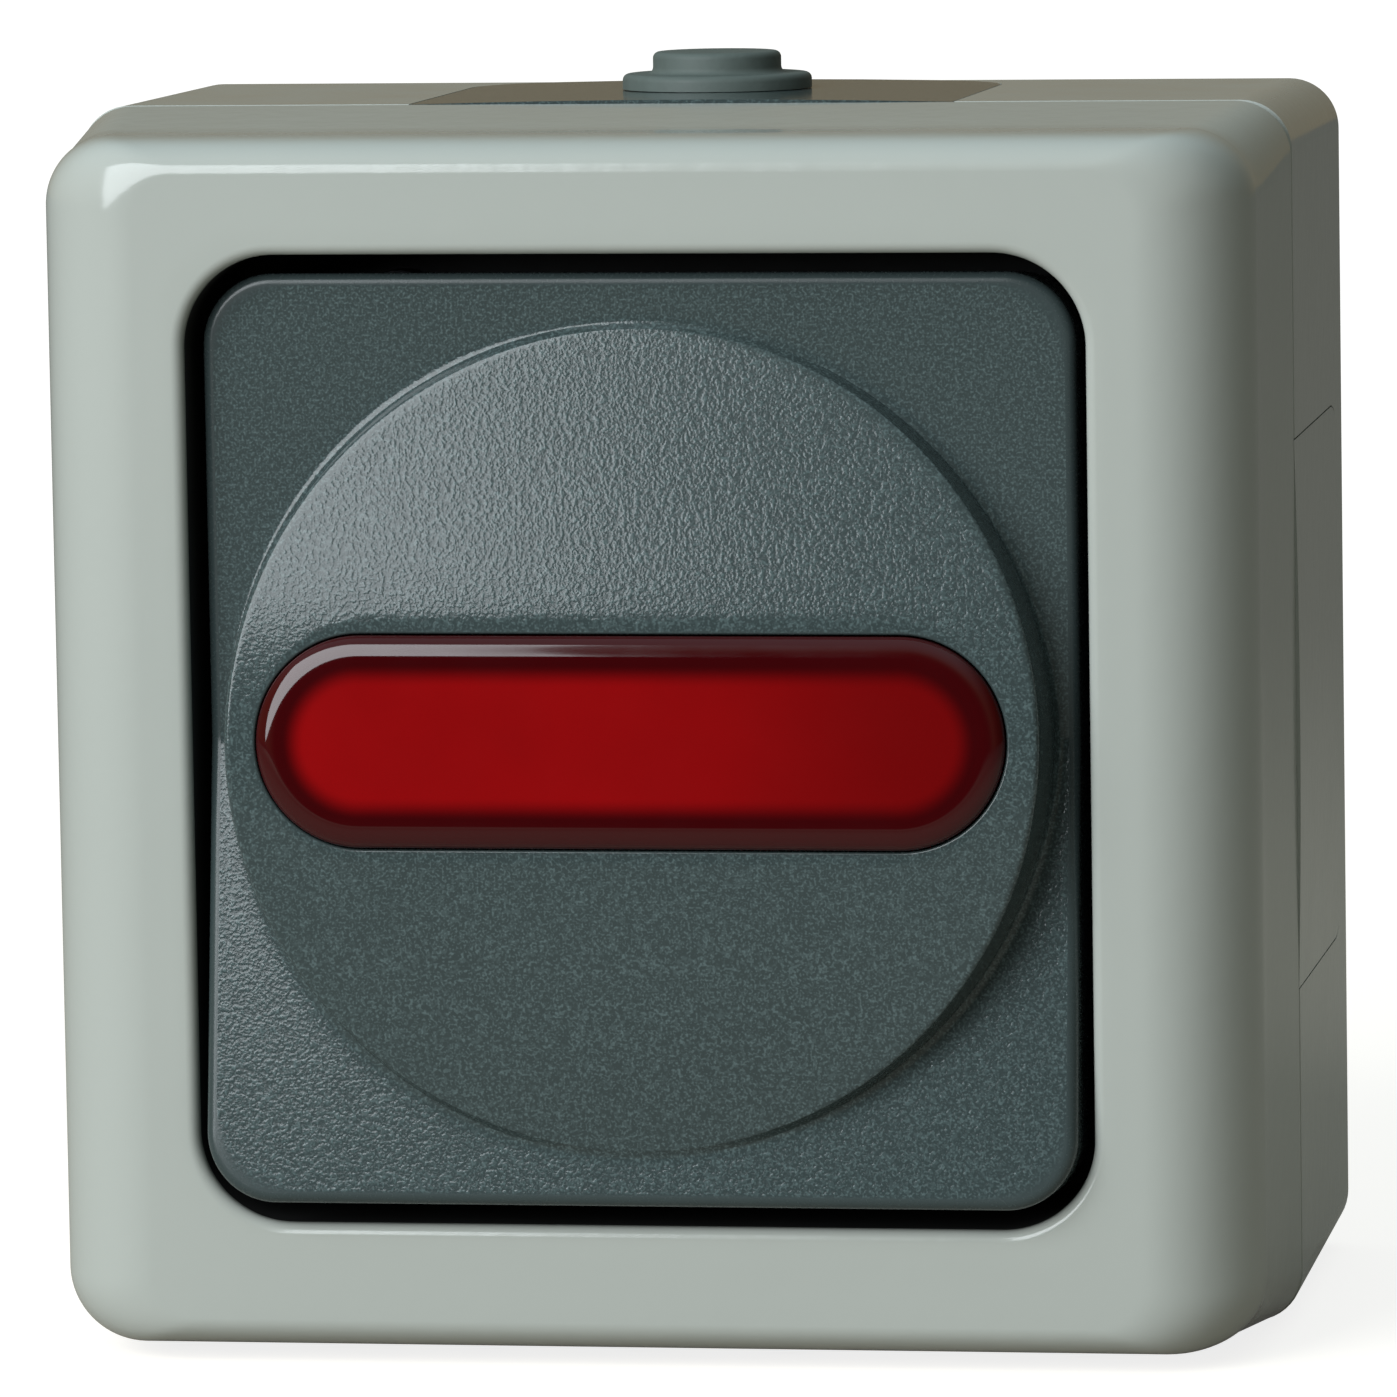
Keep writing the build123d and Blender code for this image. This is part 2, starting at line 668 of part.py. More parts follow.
# Insert base: a moulded block with a contact chamber, terminal pockets and strip channels
with BuildPart() as insert_base:
    with BuildSketch(insert_plane(insert_rear)):
        RectangleRounded(insert_width, insert_height, bridge_corner_radius / 2)
    extrude(amount=bridge_rear - insert_rear)
    with BuildSketch(insert_plane(bridge_rear)):
        Rectangle(insert_width - 2 * bridge_lap, insert_height - 2 * bridge_lap)
    extrude(amount=bridge_wall - seat_gap)
    with BuildSketch(insert_plane(insert_rear + insert_floor)):
        Rectangle(chamber_width, chamber_height)
    extrude(amount=cover_rear, mode=Mode.SUBTRACT)
    with BuildSketch(insert_plane(strip_floor)):
        with GridLocations(2 * terminal_x, 2 * terminal_z, 2, 2):
            Rectangle(terminal_pocket, terminal_pocket)
        with Locations((-terminal_x / 2, 0)):
            Rectangle(terminal_x, strip_width + 2 * bridge_gap)
        with Locations((-terminal_x, -terminal_z / 2), (terminal_x, -terminal_z / 2)):
            Rectangle(terminal_block_width + 2 * bridge_gap, terminal_z + strip_width)
    extrude(amount=cover_rear, mode=Mode.SUBTRACT)
    with BuildSketch(insert_plane(load_strip_floor)):
        with Locations((0, load_strip_z)):
            Rectangle(2 * strip_outer + 2 * bridge_gap, strip_width + 2 * bridge_gap)
    extrude(amount=cover_rear, mode=Mode.SUBTRACT)
    with BuildSketch(insert_plane(insert_rear + insert_floor / 2)):
        with Locations((0, -lever_length / 2)):
            Rectangle(lever_width, 2 * rivet_radius)
    extrude(amount=stop_front - insert_rear - insert_floor / 2)
    with BuildSketch(insert_plane(insert_rear + insert_floor / 2)):
        Rectangle(lever_width + 2 * plinth_lap, strip_width)
        with Locations((0, load_strip_z)):
            Rectangle(chamber_width, strip_width, mode=Mode.ADD)
    extrude(amount=strip_floor - insert_rear - insert_floor / 2 - seat_gap)
    with BuildSketch(insert_plane(strip_floor - insert_floor)):
        with Locations((0, load_strip_z)):
            Rectangle(chamber_width, strip_width)
    extrude(amount=load_strip_floor - strip_floor + insert_floor - seat_gap)
    for x, z in terminal_places:
        toward = 1 if z > 0 else -1
        with BuildSketch(Plane(origin=(x, -strip_front - terminal_block_depth / 2, rocker_rise + z),
                               x_dir=(1, 0, 0), z_dir=(0, 0, toward))):
            Circle(wire_hole_radius)
        extrude(amount=insert_height, mode=Mode.SUBTRACT)
    with BuildSketch(insert_plane(cover_rear - cover_screw_length)):
        with Locations(*cover_screw_places):
            Circle(cover_screw_radius + screw_hole_gap)
    extrude(amount=cover_screw_length, mode=Mode.SUBTRACT)
insert_base.part.label = "insert_base"
export_step(insert_base.part, "parts/insert_base.step")

# Insert cover: a plate with two bearing ears, the plunger slot and holes for a screwdriver
with BuildPart() as insert_cover:
    with BuildSketch(insert_plane(cover_rear)):
        RectangleRounded(insert_width, insert_height, bridge_corner_radius / 2)
        SlotOverall(plunger_slot_height, plunger_slot_width, rotation=90, mode=Mode.SUBTRACT)
        with Locations(*terminal_places):
            Circle(driver_hole_radius, mode=Mode.SUBTRACT)
        with Locations((terminal_x, resistor_z), (terminal_x, -terminal_z + strip_width)):
            Circle(3 * lead_radius, mode=Mode.SUBTRACT)
        with Locations(*cover_screw_places):
            Circle(cover_screw_radius + screw_hole_gap, mode=Mode.SUBTRACT)
    extrude(amount=cover_wall)
    with BuildSketch(insert_plane(cover_front - cover_screw_head_height)):
        with Locations(*cover_screw_places):
            Circle(cover_screw_head_radius + screw_hole_gap)
    extrude(amount=cover_wall, mode=Mode.SUBTRACT)
    for x in (ear_inner, -ear_outer):
        with BuildSketch(Plane(origin=(x, -cover_front, rocker_rise), x_dir=(0, 0, 1), z_dir=(1, 0, 0))):
            with BuildLine():
                reach = pivot_depth - cover_front + ear_lip
                Polyline(
                    (-trunnion_radius - ear_foot, 0),
                    (trunnion_radius + ear_foot, 0),
                    (trunnion_radius + ear_top, reach),
                    (-trunnion_radius - ear_top, reach),
                    close=True,
                )
            make_face()
            with Locations((0, pivot_depth - cover_front)):
                Circle(trunnion_radius + trunnion_fit, mode=Mode.SUBTRACT)
        extrude(amount=ear_wall)
insert_cover.part.label = "insert_cover"
export_step(insert_cover.part, "parts/insert_cover.step")

with BuildPart() as cover_screws:
    slotted_screws(cover_screw_places, cover_front - cover_screw_head_height, cover_screw_length,
                   cover_screw_radius, cover_screw_head_radius, cover_screw_head_height, insert_plane)
cover_screws.part.label = "cover_screws"
export_step(cover_screws.part, "parts/cover_screws.step")

# Line contact: a brass strip from its terminal to the two notched ears that carry the lever
lever_ear = lever_width / 2 + lever_ear_gap
with BuildPart() as line_contact:
    with BuildSketch(insert_plane(strip_floor)):
        with Locations(((-strip_outer + lever_ear + strip_wall) / 2, 0)):
            Rectangle(strip_outer + lever_ear + strip_wall, strip_width)
        with Locations((-terminal_x, -terminal_z / 2)):
            Rectangle(terminal_block_width, terminal_z + strip_width)
    extrude(amount=strip_wall)
    for x in (lever_ear, -lever_ear - strip_wall):
        with BuildSketch(Plane(origin=(x, -strip_floor, rocker_rise), x_dir=(0, 0, 1), z_dir=(1, 0, 0))):
            with Locations((0, (lever_depth - strip_floor) / 2 + lever_pin_radius)):
                Rectangle(strip_width - 1, lever_depth - strip_floor + 2 * lever_pin_radius)
            with Locations((0, lever_depth - strip_floor)):
                Circle(lever_pin_radius + lever_pin_fit, mode=Mode.SUBTRACT)
            with Locations((0, lever_depth - strip_floor + lever_pin_radius)):
                Rectangle(
                    2 * (lever_pin_radius + lever_pin_fit),
                    2 * lever_pin_radius + 1,
                    mode=Mode.SUBTRACT,
                )
        extrude(amount=strip_wall)
line_contact.part.label = "line_contact"
export_step(line_contact.part, "parts/line_contact.step")

# Load contact: a brass strip with the fixed rivet, from its terminal across to the lamp's resistor
with BuildPart() as load_contact:
    with BuildSketch(insert_plane(load_strip_floor)):
        with Locations((0, load_strip_z)):
            Rectangle(2 * strip_outer, strip_width)
        with Locations((-terminal_x, terminal_z)):
            Rectangle(terminal_block_width, terminal_block_height)
    extrude(amount=strip_wall)
    with BuildSketch(insert_plane(load_strip_front)):
        with Locations((0, load_strip_z)):
            Circle(rivet_radius)
    extrude(amount=rivet_height)
load_contact.part.label = "load_contact"
export_step(load_contact.part, "parts/load_contact.step")

# Neutral strip: from its terminal up to the lamp holder
with BuildPart() as neutral_strip:
    with BuildSketch(insert_plane(strip_floor)):
        with Locations((terminal_x, -terminal_z / 2)):
            Rectangle(terminal_block_width, terminal_z + strip_width)
    extrude(amount=strip_wall)
    with BuildSketch(insert_plane(strip_floor)):
        with Locations((terminal_x, -terminal_z + strip_width)):
            Rectangle(4 * lead_radius, 2 * lead_radius)
    extrude(amount=cover_front - strip_floor)
neutral_strip.part.label = "neutral_strip"
export_step(neutral_strip.part, "parts/neutral_strip.step")


def terminal_floor(x, z):
    """Depth on which a terminal block stands: the front of the strip beneath it."""
    return load_strip_front if z > 0 else strip_front


# Terminal blocks: pillar terminals with a wire bore from the side and a screw from the front
with BuildPart() as terminal_blocks:
    for x, z in terminal_places:
        toward = 1 if z > 0 else -1
        with BuildSketch(insert_plane(terminal_floor(x, z) + seat_gap)):
            with Locations((x, z)):
                Rectangle(terminal_block_width, terminal_block_height)
        extrude(amount=terminal_block_depth)
        with BuildSketch(insert_plane(terminal_floor(x, z) + terminal_block_depth / 2)):
            with Locations((x, z)):
                Circle(terminal_screw_radius + screw_hole_gap)
        extrude(amount=terminal_block_depth, mode=Mode.SUBTRACT)
        with BuildSketch(Plane(origin=(x, -strip_front - terminal_block_depth / 2, rocker_rise),
                               x_dir=(1, 0, 0), z_dir=(0, 0, toward))):
            Circle(wire_bore_radius)
        extrude(amount=insert_height, mode=Mode.SUBTRACT)
terminal_blocks.part.label = "terminal_blocks"
export_step(terminal_blocks.part, "parts/terminal_blocks.step")

with BuildPart() as terminal_screws:
    for x, z in terminal_places:
        slotted_screws([(x, z)], terminal_floor(x, z) + terminal_block_depth + terminal_head_gap,
                       terminal_head_gap + terminal_block_depth / 2 - wire_bore_radius,
                       terminal_screw_radius, terminal_head_radius, terminal_head_height, insert_plane)
terminal_screws.part.label = "terminal_screws"
export_step(terminal_screws.part, "parts/terminal_screws.step")

# Earth terminal: a brass block on its post, with its own screw as a separate solid
with BuildPart() as earth_terminal:
    with BuildSketch(front_plane(earth_post_top + seat_gap)):
        with Locations((earth_x, earth_z)):
            Rectangle(earth_block, earth_block)
    extrude(amount=earth_block)
    with BuildSketch(Plane(origin=(earth_x, -earth_post_top - earth_block / 2, earth_z),
                           x_dir=(0, 1, 0), z_dir=(1, 0, 0))):
        Circle(wire_bore_radius)
    extrude(amount=earth_block, both=True, mode=Mode.SUBTRACT)
    with BuildSketch(front_plane(earth_post_top + earth_block / 2)):
        with Locations((earth_x, earth_z)):
            Circle(terminal_screw_radius + screw_hole_gap)
    extrude(amount=earth_block, mode=Mode.SUBTRACT)
earth_terminal.part.label = "earth_terminal"
export_step(earth_terminal.part, "parts/earth_terminal.step")

with BuildPart() as earth_screw:
    slotted_screws([(earth_x, earth_z)], earth_post_top + earth_block + terminal_head_gap,
                   terminal_head_gap + earth_block / 2 - wire_bore_radius,
                   terminal_screw_radius, terminal_head_radius, terminal_head_height, front_plane)
earth_screw.part.label = "earth_screw"
export_step(earth_screw.part, "parts/earth_screw.step")

# Lamp holder: a foot over both lamp connections, with a cup for the lamp
with BuildPart() as lamp_holder:
    with BuildSketch(insert_plane(cover_front + seat_gap)):
        with Locations((lamp_x, (lamp_holder_high - lamp_holder_low) / 2)):
            RectangleRounded(lamp_holder_width, lamp_holder_high + lamp_holder_low, lamp_holder_corner)
    extrude(amount=lamp_holder_wall)
    with BuildSketch(insert_plane(cover_front + lamp_holder_wall / 2)):
        with Locations((lamp_x, 0)):
            Circle(lamp_cup_radius)
            Rectangle(lamp_holder_width, 2 * lamp_cup_radius, mode=Mode.INTERSECT)
    extrude(amount=lamp_cup_front - cover_front - lamp_holder_wall / 2)
    with BuildSketch(insert_plane(lamp_rear)):
        with Locations((lamp_x, 0)):
            Circle(lamp_radius + lamp_fit)
    extrude(amount=lamp_cup_front, mode=Mode.SUBTRACT)
    with BuildSketch(insert_plane(cover_rear)):
        with Locations((terminal_x, resistor_z)):
            Circle(lead_radius + bridge_gap)
    extrude(amount=2 * cover_wall, mode=Mode.SUBTRACT)
lamp_holder.part.label = "lamp_holder"
export_step(lamp_holder.part, "parts/lamp_holder.step")

# Glow lamp: a glass tube with a domed tip, standing in the holder
with BuildPart() as glow_lamp:
    with BuildSketch(Plane(origin=(lamp_x, -lamp_rear - seat_gap, rocker_rise),
                           x_dir=(1, 0, 0), z_dir=(0, 0, 1))):
        with BuildLine():
            tube = lamp_front - lamp_rear - lamp_radius
            Line((0, 0), (lamp_radius, 0))
            Line((lamp_radius, 0), (lamp_radius, -tube))
            RadiusArc((lamp_radius, -tube), (0, -tube - lamp_radius), lamp_radius)
            Line((0, -tube - lamp_radius), (0, 0))
        make_face()
    revolve(axis=Axis((lamp_x, 0, rocker_rise), (0, 1, 0)))
glow_lamp.part.label = "glow_lamp"
export_step(glow_lamp.part, "parts/glow_lamp.step")

# Series resistor of the lamp, standing on the load strip with its front lead in the holder
resistor_middle = (load_strip_front + cover_rear) / 2
with BuildPart() as lamp_resistor:
    with BuildSketch(insert_plane(resistor_middle - resistor_length / 2)):
        with Locations((terminal_x, resistor_z)):
            Circle(resistor_radius)
    extrude(amount=resistor_length)
    fillet(lamp_resistor.edges().filter_by(GeomType.CIRCLE), resistor_radius / 3)
    with BuildSketch(insert_plane(load_strip_front + seat_gap)):
        with Locations((terminal_x, resistor_z)):
            Circle(lead_radius)
    extrude(amount=cover_front + lamp_holder_wall - load_strip_front)
lamp_resistor.part.label = "lamp_resistor"
export_step(lamp_resistor.part, "parts/lamp_resistor.step")

# Contact lever: a see-saw strip with pins in the notched ears and a rivet under its upper arm
with BuildPart() as contact_lever:
    with BuildSketch(lever_plane(lever_offset)):
        RectangleRounded(lever_width, lever_length, lever_corner)
    extrude(amount=lever_wall)
    with BuildSketch(lever_plane(lever_offset - rivet_height)):
        with Locations((0, rivet_place)):
            Circle(rivet_radius)
    extrude(amount=rivet_height)
    with BuildSketch(lever_plane(0)):
        Rectangle(lever_width, 2 * lever_pin_radius)
    extrude(amount=lever_front / 2)
    with BuildSketch(Plane(origin=(0, -lever_depth, rocker_rise), x_dir=(0, 0, 1), z_dir=(1, 0, 0))):
        Circle(lever_pin_radius)
    extrude(amount=lever_ear + 1.5 * strip_wall, both=True)
contact_lever.part.label = "contact_lever"
export_step(contact_lever.part, "parts/contact_lever.step")

# Bulge of the rocker and the hollow behind it: a drum's skin seen through a round window
with BuildPart() as bulge:
    with BuildSketch(rocker_plane(pivot_back + bulge_rise)):
        Circle(bulge_radius)
    extrude(amount=-bulge_rise - cap_wall / 2, taper=-bulge_wall_lean)
    with BuildSketch(rocker_side_plane(0)):
        bulge_profile(bulge_rise, bulge_curve_radius)
    extrude(amount=cap_width, both=True, mode=Mode.INTERSECT)

with BuildPart() as bulge_hollow:
    with BuildSketch(rocker_plane(cap_under - cap_wall / 2)):
        Circle(bulge_radius - cap_wall)
    extrude(amount=cap_wall + bulge_rise)
    with BuildSketch(rocker_side_plane(0)):
        bulge_profile(bulge_rise - cap_wall, bulge_curve_radius - cap_wall)
    extrude(amount=cap_width, both=True, mode=Mode.INTERSECT)

# Rocker cap: the textured key with its skirt, the bulge, the lens seat, ribs and clip legs
cap_clip_inner = cradle_height / 2 + cap_clip_gap
with BuildPart() as rocker_cap:
    with BuildSketch(rocker_plane(pivot_back)):
        RectangleRounded(cap_width, cap_height, cap_radius)
    extrude(amount=-skirt_depth)
    fillet(rocker_cap.faces().sort_by(Axis.Y)[0].edges(), cap_edge_radius)
    with BuildSketch(rocker_plane(cap_under)):
        RectangleRounded(cap_width - 2 * skirt_wall, cap_height - 2 * skirt_wall, cap_radius - skirt_wall)
    extrude(amount=-skirt_depth, mode=Mode.SUBTRACT)
    add(bulge.part)
    add(bulge_hollow.part, mode=Mode.SUBTRACT)
    with BuildSketch(rocker_plane(cap_under)):
        SlotOverall(lens_width + 2 * (lens_fit + lens_seat_wall), lens_height + 2 * (lens_fit + lens_seat_wall))
    extrude(amount=pivot_back + bulge_rise - cap_under - cap_wall / 2)
    with BuildSketch(rocker_plane(0)):
        SlotOverall(lens_width + 2 * lens_fit, lens_height + 2 * lens_fit)
    extrude(amount=3 * pivot_back, mode=Mode.SUBTRACT)
    with BuildSketch(rocker_plane(-cradle_rear - cap_clip_gap - 2 * cap_clip_hook)):
        with GridLocations(1, 2 * cap_clip_inner + cap_clip_wall, 1, 2):
            Rectangle(cap_clip_width, cap_clip_wall)
    extrude(amount=cradle_rear + cap_clip_gap + 2 * cap_clip_hook + pivot_back + cap_clip_hook)
    with BuildSketch(rocker_plane(-cradle_rear - cap_clip_gap - 2 * cap_clip_hook)):
        with GridLocations(1, 2 * cap_clip_inner - cap_clip_hook, 1, 2):
            Rectangle(cap_clip_width, cap_clip_hook)
    extrude(amount=2 * cap_clip_hook)
    rib_low = lens_height / 2 + lens_fit + lens_seat_wall / 2
    rib_high = cap_height / 2 - skirt_wall / 2
    with BuildSketch(rocker_plane(cap_under - cap_wall)):
        with GridLocations(2 * cap_rib_x, rib_low + rib_high, 2, 2):
            Rectangle(cap_rib_wall, rib_high - rib_low)
    extrude(amount=1.5 * cap_wall)
rocker_cap.part.label = "rocker_cap"
export_step(rocker_cap.part, "parts/rocker_cap.step")

# Lens: a clear cup with a rounded rim, its flange behind the cap's seat
with BuildPart() as lens:
    with BuildSketch(rocker_plane(lens_rear)):
        SlotOverall(lens_width, lens_height)
    extrude(amount=lens_front - lens_rear)
    fillet(lens.faces().sort_by(Axis.Y)[0].edges(), lens_edge_radius)
    with BuildSketch(rocker_plane(lens_rear)):
        SlotOverall(lens_width + 2 * lens_seat_wall, lens_height + 2 * lens_seat_wall)
    extrude(amount=lens_flange - seat_gap)
    with BuildSketch(rocker_plane(lens_rear)):
        SlotOverall(lens_width - 2 * lens_wall, lens_height - 2 * lens_wall)
    extrude(amount=lens_front - lens_rear - lens_wall, mode=Mode.SUBTRACT)
lens.part.label = "lens"
export_step(lens.part, "parts/lens.step")

# Cradle: the tilting block with its trunnions and the plunger's guide tube
with BuildPart() as rocker_cradle:
    with BuildSketch(rocker_plane(-cradle_rear)):
        RectangleRounded(cradle_width, cradle_height, cradle_corner)
    extrude(amount=cradle_rear + cradle_front)
    with BuildSketch(rocker_plane(-guide_end)):
        Circle(guide_radius)
    extrude(amount=guide_end - cradle_rear / 2)
    with BuildSketch(rocker_side_plane(0)):
        Circle(trunnion_radius)
    extrude(amount=ear_outer - ear_gap, both=True)
    with BuildSketch(rocker_plane(-guide_end)):
        Circle(bore_radius)
    extrude(amount=guide_end + bore_end, mode=Mode.SUBTRACT)
rocker_cradle.part.label = "rocker_cradle"
export_step(rocker_cradle.part, "parts/rocker_cradle.step")

# Plunger: it slides in the guide tube and its round nose presses on the contact lever
nose_reach = pivot_depth - lever_depth - lever_front - plunger_clearance
with BuildPart() as plunger:
    with BuildSketch(rocker_plane(-plunger_body_front - plunger_body_length)):
        Circle(bore_radius - plunger_fit)
    extrude(amount=plunger_body_length)
    with BuildSketch(rocker_plane(-nose_reach)):
        Circle(plunger_nose_radius)
    extrude(amount=nose_reach - plunger_body_front - plunger_body_length / 2)
    fillet(plunger.faces().sort_by(Axis.Y)[-1].edges(), plunger_nose_radius - plunger_fit)
plunger.part.label = "plunger"
export_step(plunger.part, "parts/plunger.step")

# Plunger spring: an open coil between the blind end of the bore and the plunger
spring_rear = -plunger_body_front + spring_gap + spring_wire_radius
spring_front = bore_end - spring_gap - spring_wire_radius
with BuildPart() as plunger_spring:
    with BuildLine():
        coil = Helix(
            (spring_front - spring_rear) / spring_turns,
            spring_front - spring_rear,
            spring_radius,
            center=rocker_plane(spring_rear).origin,
            direction=rocker_plane(spring_rear).z_dir,
        )
    with BuildSketch(Plane(origin=coil @ 0, z_dir=coil % 0)):
        RegularPolygon(spring_wire_radius, spring_wire_sides)
    sweep(path=coil, is_frenet=True)
plunger_spring.part.label = "plunger_spring"
export_step(plunger_spring.part, "parts/plunger_spring.step")
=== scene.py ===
import json

import bpy
import numpy as np
from mathutils import Matrix, Vector


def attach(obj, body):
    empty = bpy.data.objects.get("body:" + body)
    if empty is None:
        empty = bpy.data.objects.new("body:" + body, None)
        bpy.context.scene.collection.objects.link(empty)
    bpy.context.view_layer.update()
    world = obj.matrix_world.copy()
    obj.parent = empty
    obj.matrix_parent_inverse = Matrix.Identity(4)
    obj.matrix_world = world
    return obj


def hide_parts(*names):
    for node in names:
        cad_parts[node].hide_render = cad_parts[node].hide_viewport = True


bl_info = {
    "name": "Pilot Light Switch",
    "version": (1, 0, 0),
    "blender": (4, 5, 0),
    "location": "3D View > Sidebar > Switch",
    "description": "Finishes the shells, rocker and lens of a surface-mounted pilot light switch",
    "category": "Add Mesh",
}

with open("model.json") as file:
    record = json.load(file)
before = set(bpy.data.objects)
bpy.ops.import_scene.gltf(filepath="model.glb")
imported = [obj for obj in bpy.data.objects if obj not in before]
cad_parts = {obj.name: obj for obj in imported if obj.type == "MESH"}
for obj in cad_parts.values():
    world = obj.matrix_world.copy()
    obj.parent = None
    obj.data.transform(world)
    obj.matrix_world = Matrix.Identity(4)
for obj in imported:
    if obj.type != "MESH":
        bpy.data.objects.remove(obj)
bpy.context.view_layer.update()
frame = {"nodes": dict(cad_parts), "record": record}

MM = 0.001
ROCKER_TILT = np.radians(4.5)
HINGE_DEPTH = 43.4 * MM
HINGE_RISE = 0.3 * MM


def bearings(count):
    """Directions round an outline, in radians: even steps less a sine of four times the step, which draws
    them together at the diagonals, where a rounded rectangle has its corners."""
    even = np.linspace(0, 2 * np.pi, count, endpoint=False)
    return even + 0.85 / 4 * np.sin(4 * even)


def reach(half_width, half_height, corner, bearing):
    """How far a rounded rectangle reaches from its centre in a direction: to the side or the top where the
    ray meets its straight part, and otherwise to the corner's circle, the larger root of |t d - c| = r."""
    across = np.maximum(np.abs(np.cos(bearing)), 1e-9)
    up = np.maximum(np.abs(np.sin(bearing)), 1e-9)
    corner_x, corner_z = half_width - corner, half_height - corner
    along = corner_x * across + corner_z * up
    square = along**2 - corner_x**2 - corner_z**2 + corner**2
    to_corner = along + np.sqrt(np.maximum(square, 0))
    to_side, to_top = half_width / across, half_height / up
    to_edge = np.where(to_top * across <= corner_x, to_top, to_corner)
    return np.where(to_side * up <= corner_z, to_side, to_edge)


def run(start, end, out, forward=None):
    """Rings from one ring to another. Out is each ring's share of the way in its half sizes, corner and
    rise, and forward its share of the way in depth, which is out itself on a straight run."""
    start, end, out = np.asarray(start, float), np.asarray(end, float), np.asarray(out, float)
    rings = start + (end - start) * out[:, None]
    if forward is not None:
        rings[:, 3] = start[3] + (end[3] - start[3]) * forward
    return rings


def straight(count):
    return np.linspace(0, 1, count)


def turn_in(count):
    """Shares of a quarter turn that starts along the depth and ends across it."""
    angle = np.linspace(0, np.pi / 2, count)
    return 1 - np.cos(angle), np.sin(angle)


def turn_back(count):
    """Shares of a quarter turn that starts across the depth and ends along it."""
    angle = np.linspace(0, np.pi / 2, count)
    return np.sin(angle), 1 - np.cos(angle)


def ring_points(rings, bearing):
    """Points of rings with columns half width, half height, corner, depth and rise, in the part's frame:
    each lies at the outline's reach in its direction, and its depth is its distance in front of the wall."""
    half_width, half_height, corner, depth, rise = (rings[:, i : i + 1] for i in range(5))
    far = reach(half_width, half_height, corner, bearing[None, :])
    x, z = far * np.cos(bearing), far * np.sin(bearing) + rise
    return np.stack([x, -depth + 0 * x, z], axis=-1)


def on_rocker(x, up, height):
    """Points given across, up and in front of the rocker, turned back by its tilt about its hinge line."""
    tilt_sin, tilt_cos = np.sin(ROCKER_TILT), np.cos(ROCKER_TILT)
    y = -HINGE_DEPTH + up * tilt_sin - height * tilt_cos
    z = HINGE_RISE + up * tilt_cos + height * tilt_sin
    return np.stack([x, y, z], axis=-1)


def skin_faces(rows, columns, looped):
    """Quads between neighbouring points of neighbouring rings, closed round each ring, and from the last
    ring to the first where the section is a loop."""
    row = np.arange(rows if looped else rows - 1)[:, None]
    column = np.arange(columns)[None, :]
    next_row, next_column = (row + 1) % rows, (column + 1) % columns
    corners = [(row, column), (row, next_column), (next_row, next_column), (next_row, column)]
    return np.stack([r * columns + c for r, c in corners], axis=-1).reshape(-1, 4)


def add_skin(name, points, material, looped=True, body="housing", replaces=(), crease=30, traits=None):
    """A mesh from rings of points. Where the section isn't a loop, each end ring closes to a fan round its
    middle, which is the mean of the ring. Traits are named values of the rings for the materials."""
    rows, columns = points.shape[:2]
    vertices = points.reshape(-1, 3)
    faces = skin_faces(rows, columns, looped).tolist()
    if not looped:
        middles = points[[0, -1]].mean(axis=1)
        vertices = np.vstack([vertices, middles])
        here = np.arange(columns)
        after = (here + 1) % columns
        first = np.full(columns, rows * columns)
        last_ring = (rows - 1) * columns
        faces += np.stack([first, after, here], axis=-1).tolist()
        faces += np.stack([first + 1, last_ring + here, last_ring + after], axis=-1).tolist()
    mesh = bpy.data.meshes.new(name)
    mesh.from_pydata(vertices.tolist(), [], faces)
    mesh.shade_smooth()
    mesh.set_sharp_from_angle(angle=np.radians(crease))
    mesh.materials.append(material)
    for trait, values in (traits or {}).items():
        each = np.append(np.repeat(values, columns), np.zeros(len(vertices) - rows * columns))
        mesh.attributes.new(trait, "FLOAT", "POINT").data.foreach_set("value", each.astype(np.float32))
    piece = bpy.data.objects.new(name, mesh)
    bpy.context.scene.collection.objects.link(piece)
    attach(piece, body)
    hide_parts(*replaces)
    return piece


class Wire:
    """An output of a shader node. Arithmetic on it adds Math nodes to its material."""

    def __init__(self, paint, socket):
        self.paint, self.socket = paint, socket

    def maths(self, operation, first, second=0.0):
        return self.paint.node("ShaderNodeMath", {"operation": operation}, {0: first, 1: second})

    def __add__(self, other):
        return self.maths("ADD", self, other)

    def __radd__(self, other):
        return self.maths("ADD", other, self)

    def __sub__(self, other):
        return self.maths("SUBTRACT", self, other)

    def __rsub__(self, other):
        return self.maths("SUBTRACT", other, self)

    def __mul__(self, other):
        return self.maths("MULTIPLY", self, other)

    def __rmul__(self, other):
        return self.maths("MULTIPLY", other, self)

    def __abs__(self):
        return self.maths("ABSOLUTE", self)

    def at_least(self, other):
        return self.maths("MAXIMUM", self, other)

    def root(self):
        return self.maths("SQRT", self)

    def fade(self, low, high, start=0.0, end=1.0):
        """A smooth step from start to end as the value goes from low to high."""
        inputs = {"Value": self, "From Min": low, "From Max": high, "To Min": start, "To Max": end}
        return self.paint.node("ShaderNodeMapRange", {"interpolation_type": "SMOOTHSTEP"}, inputs)


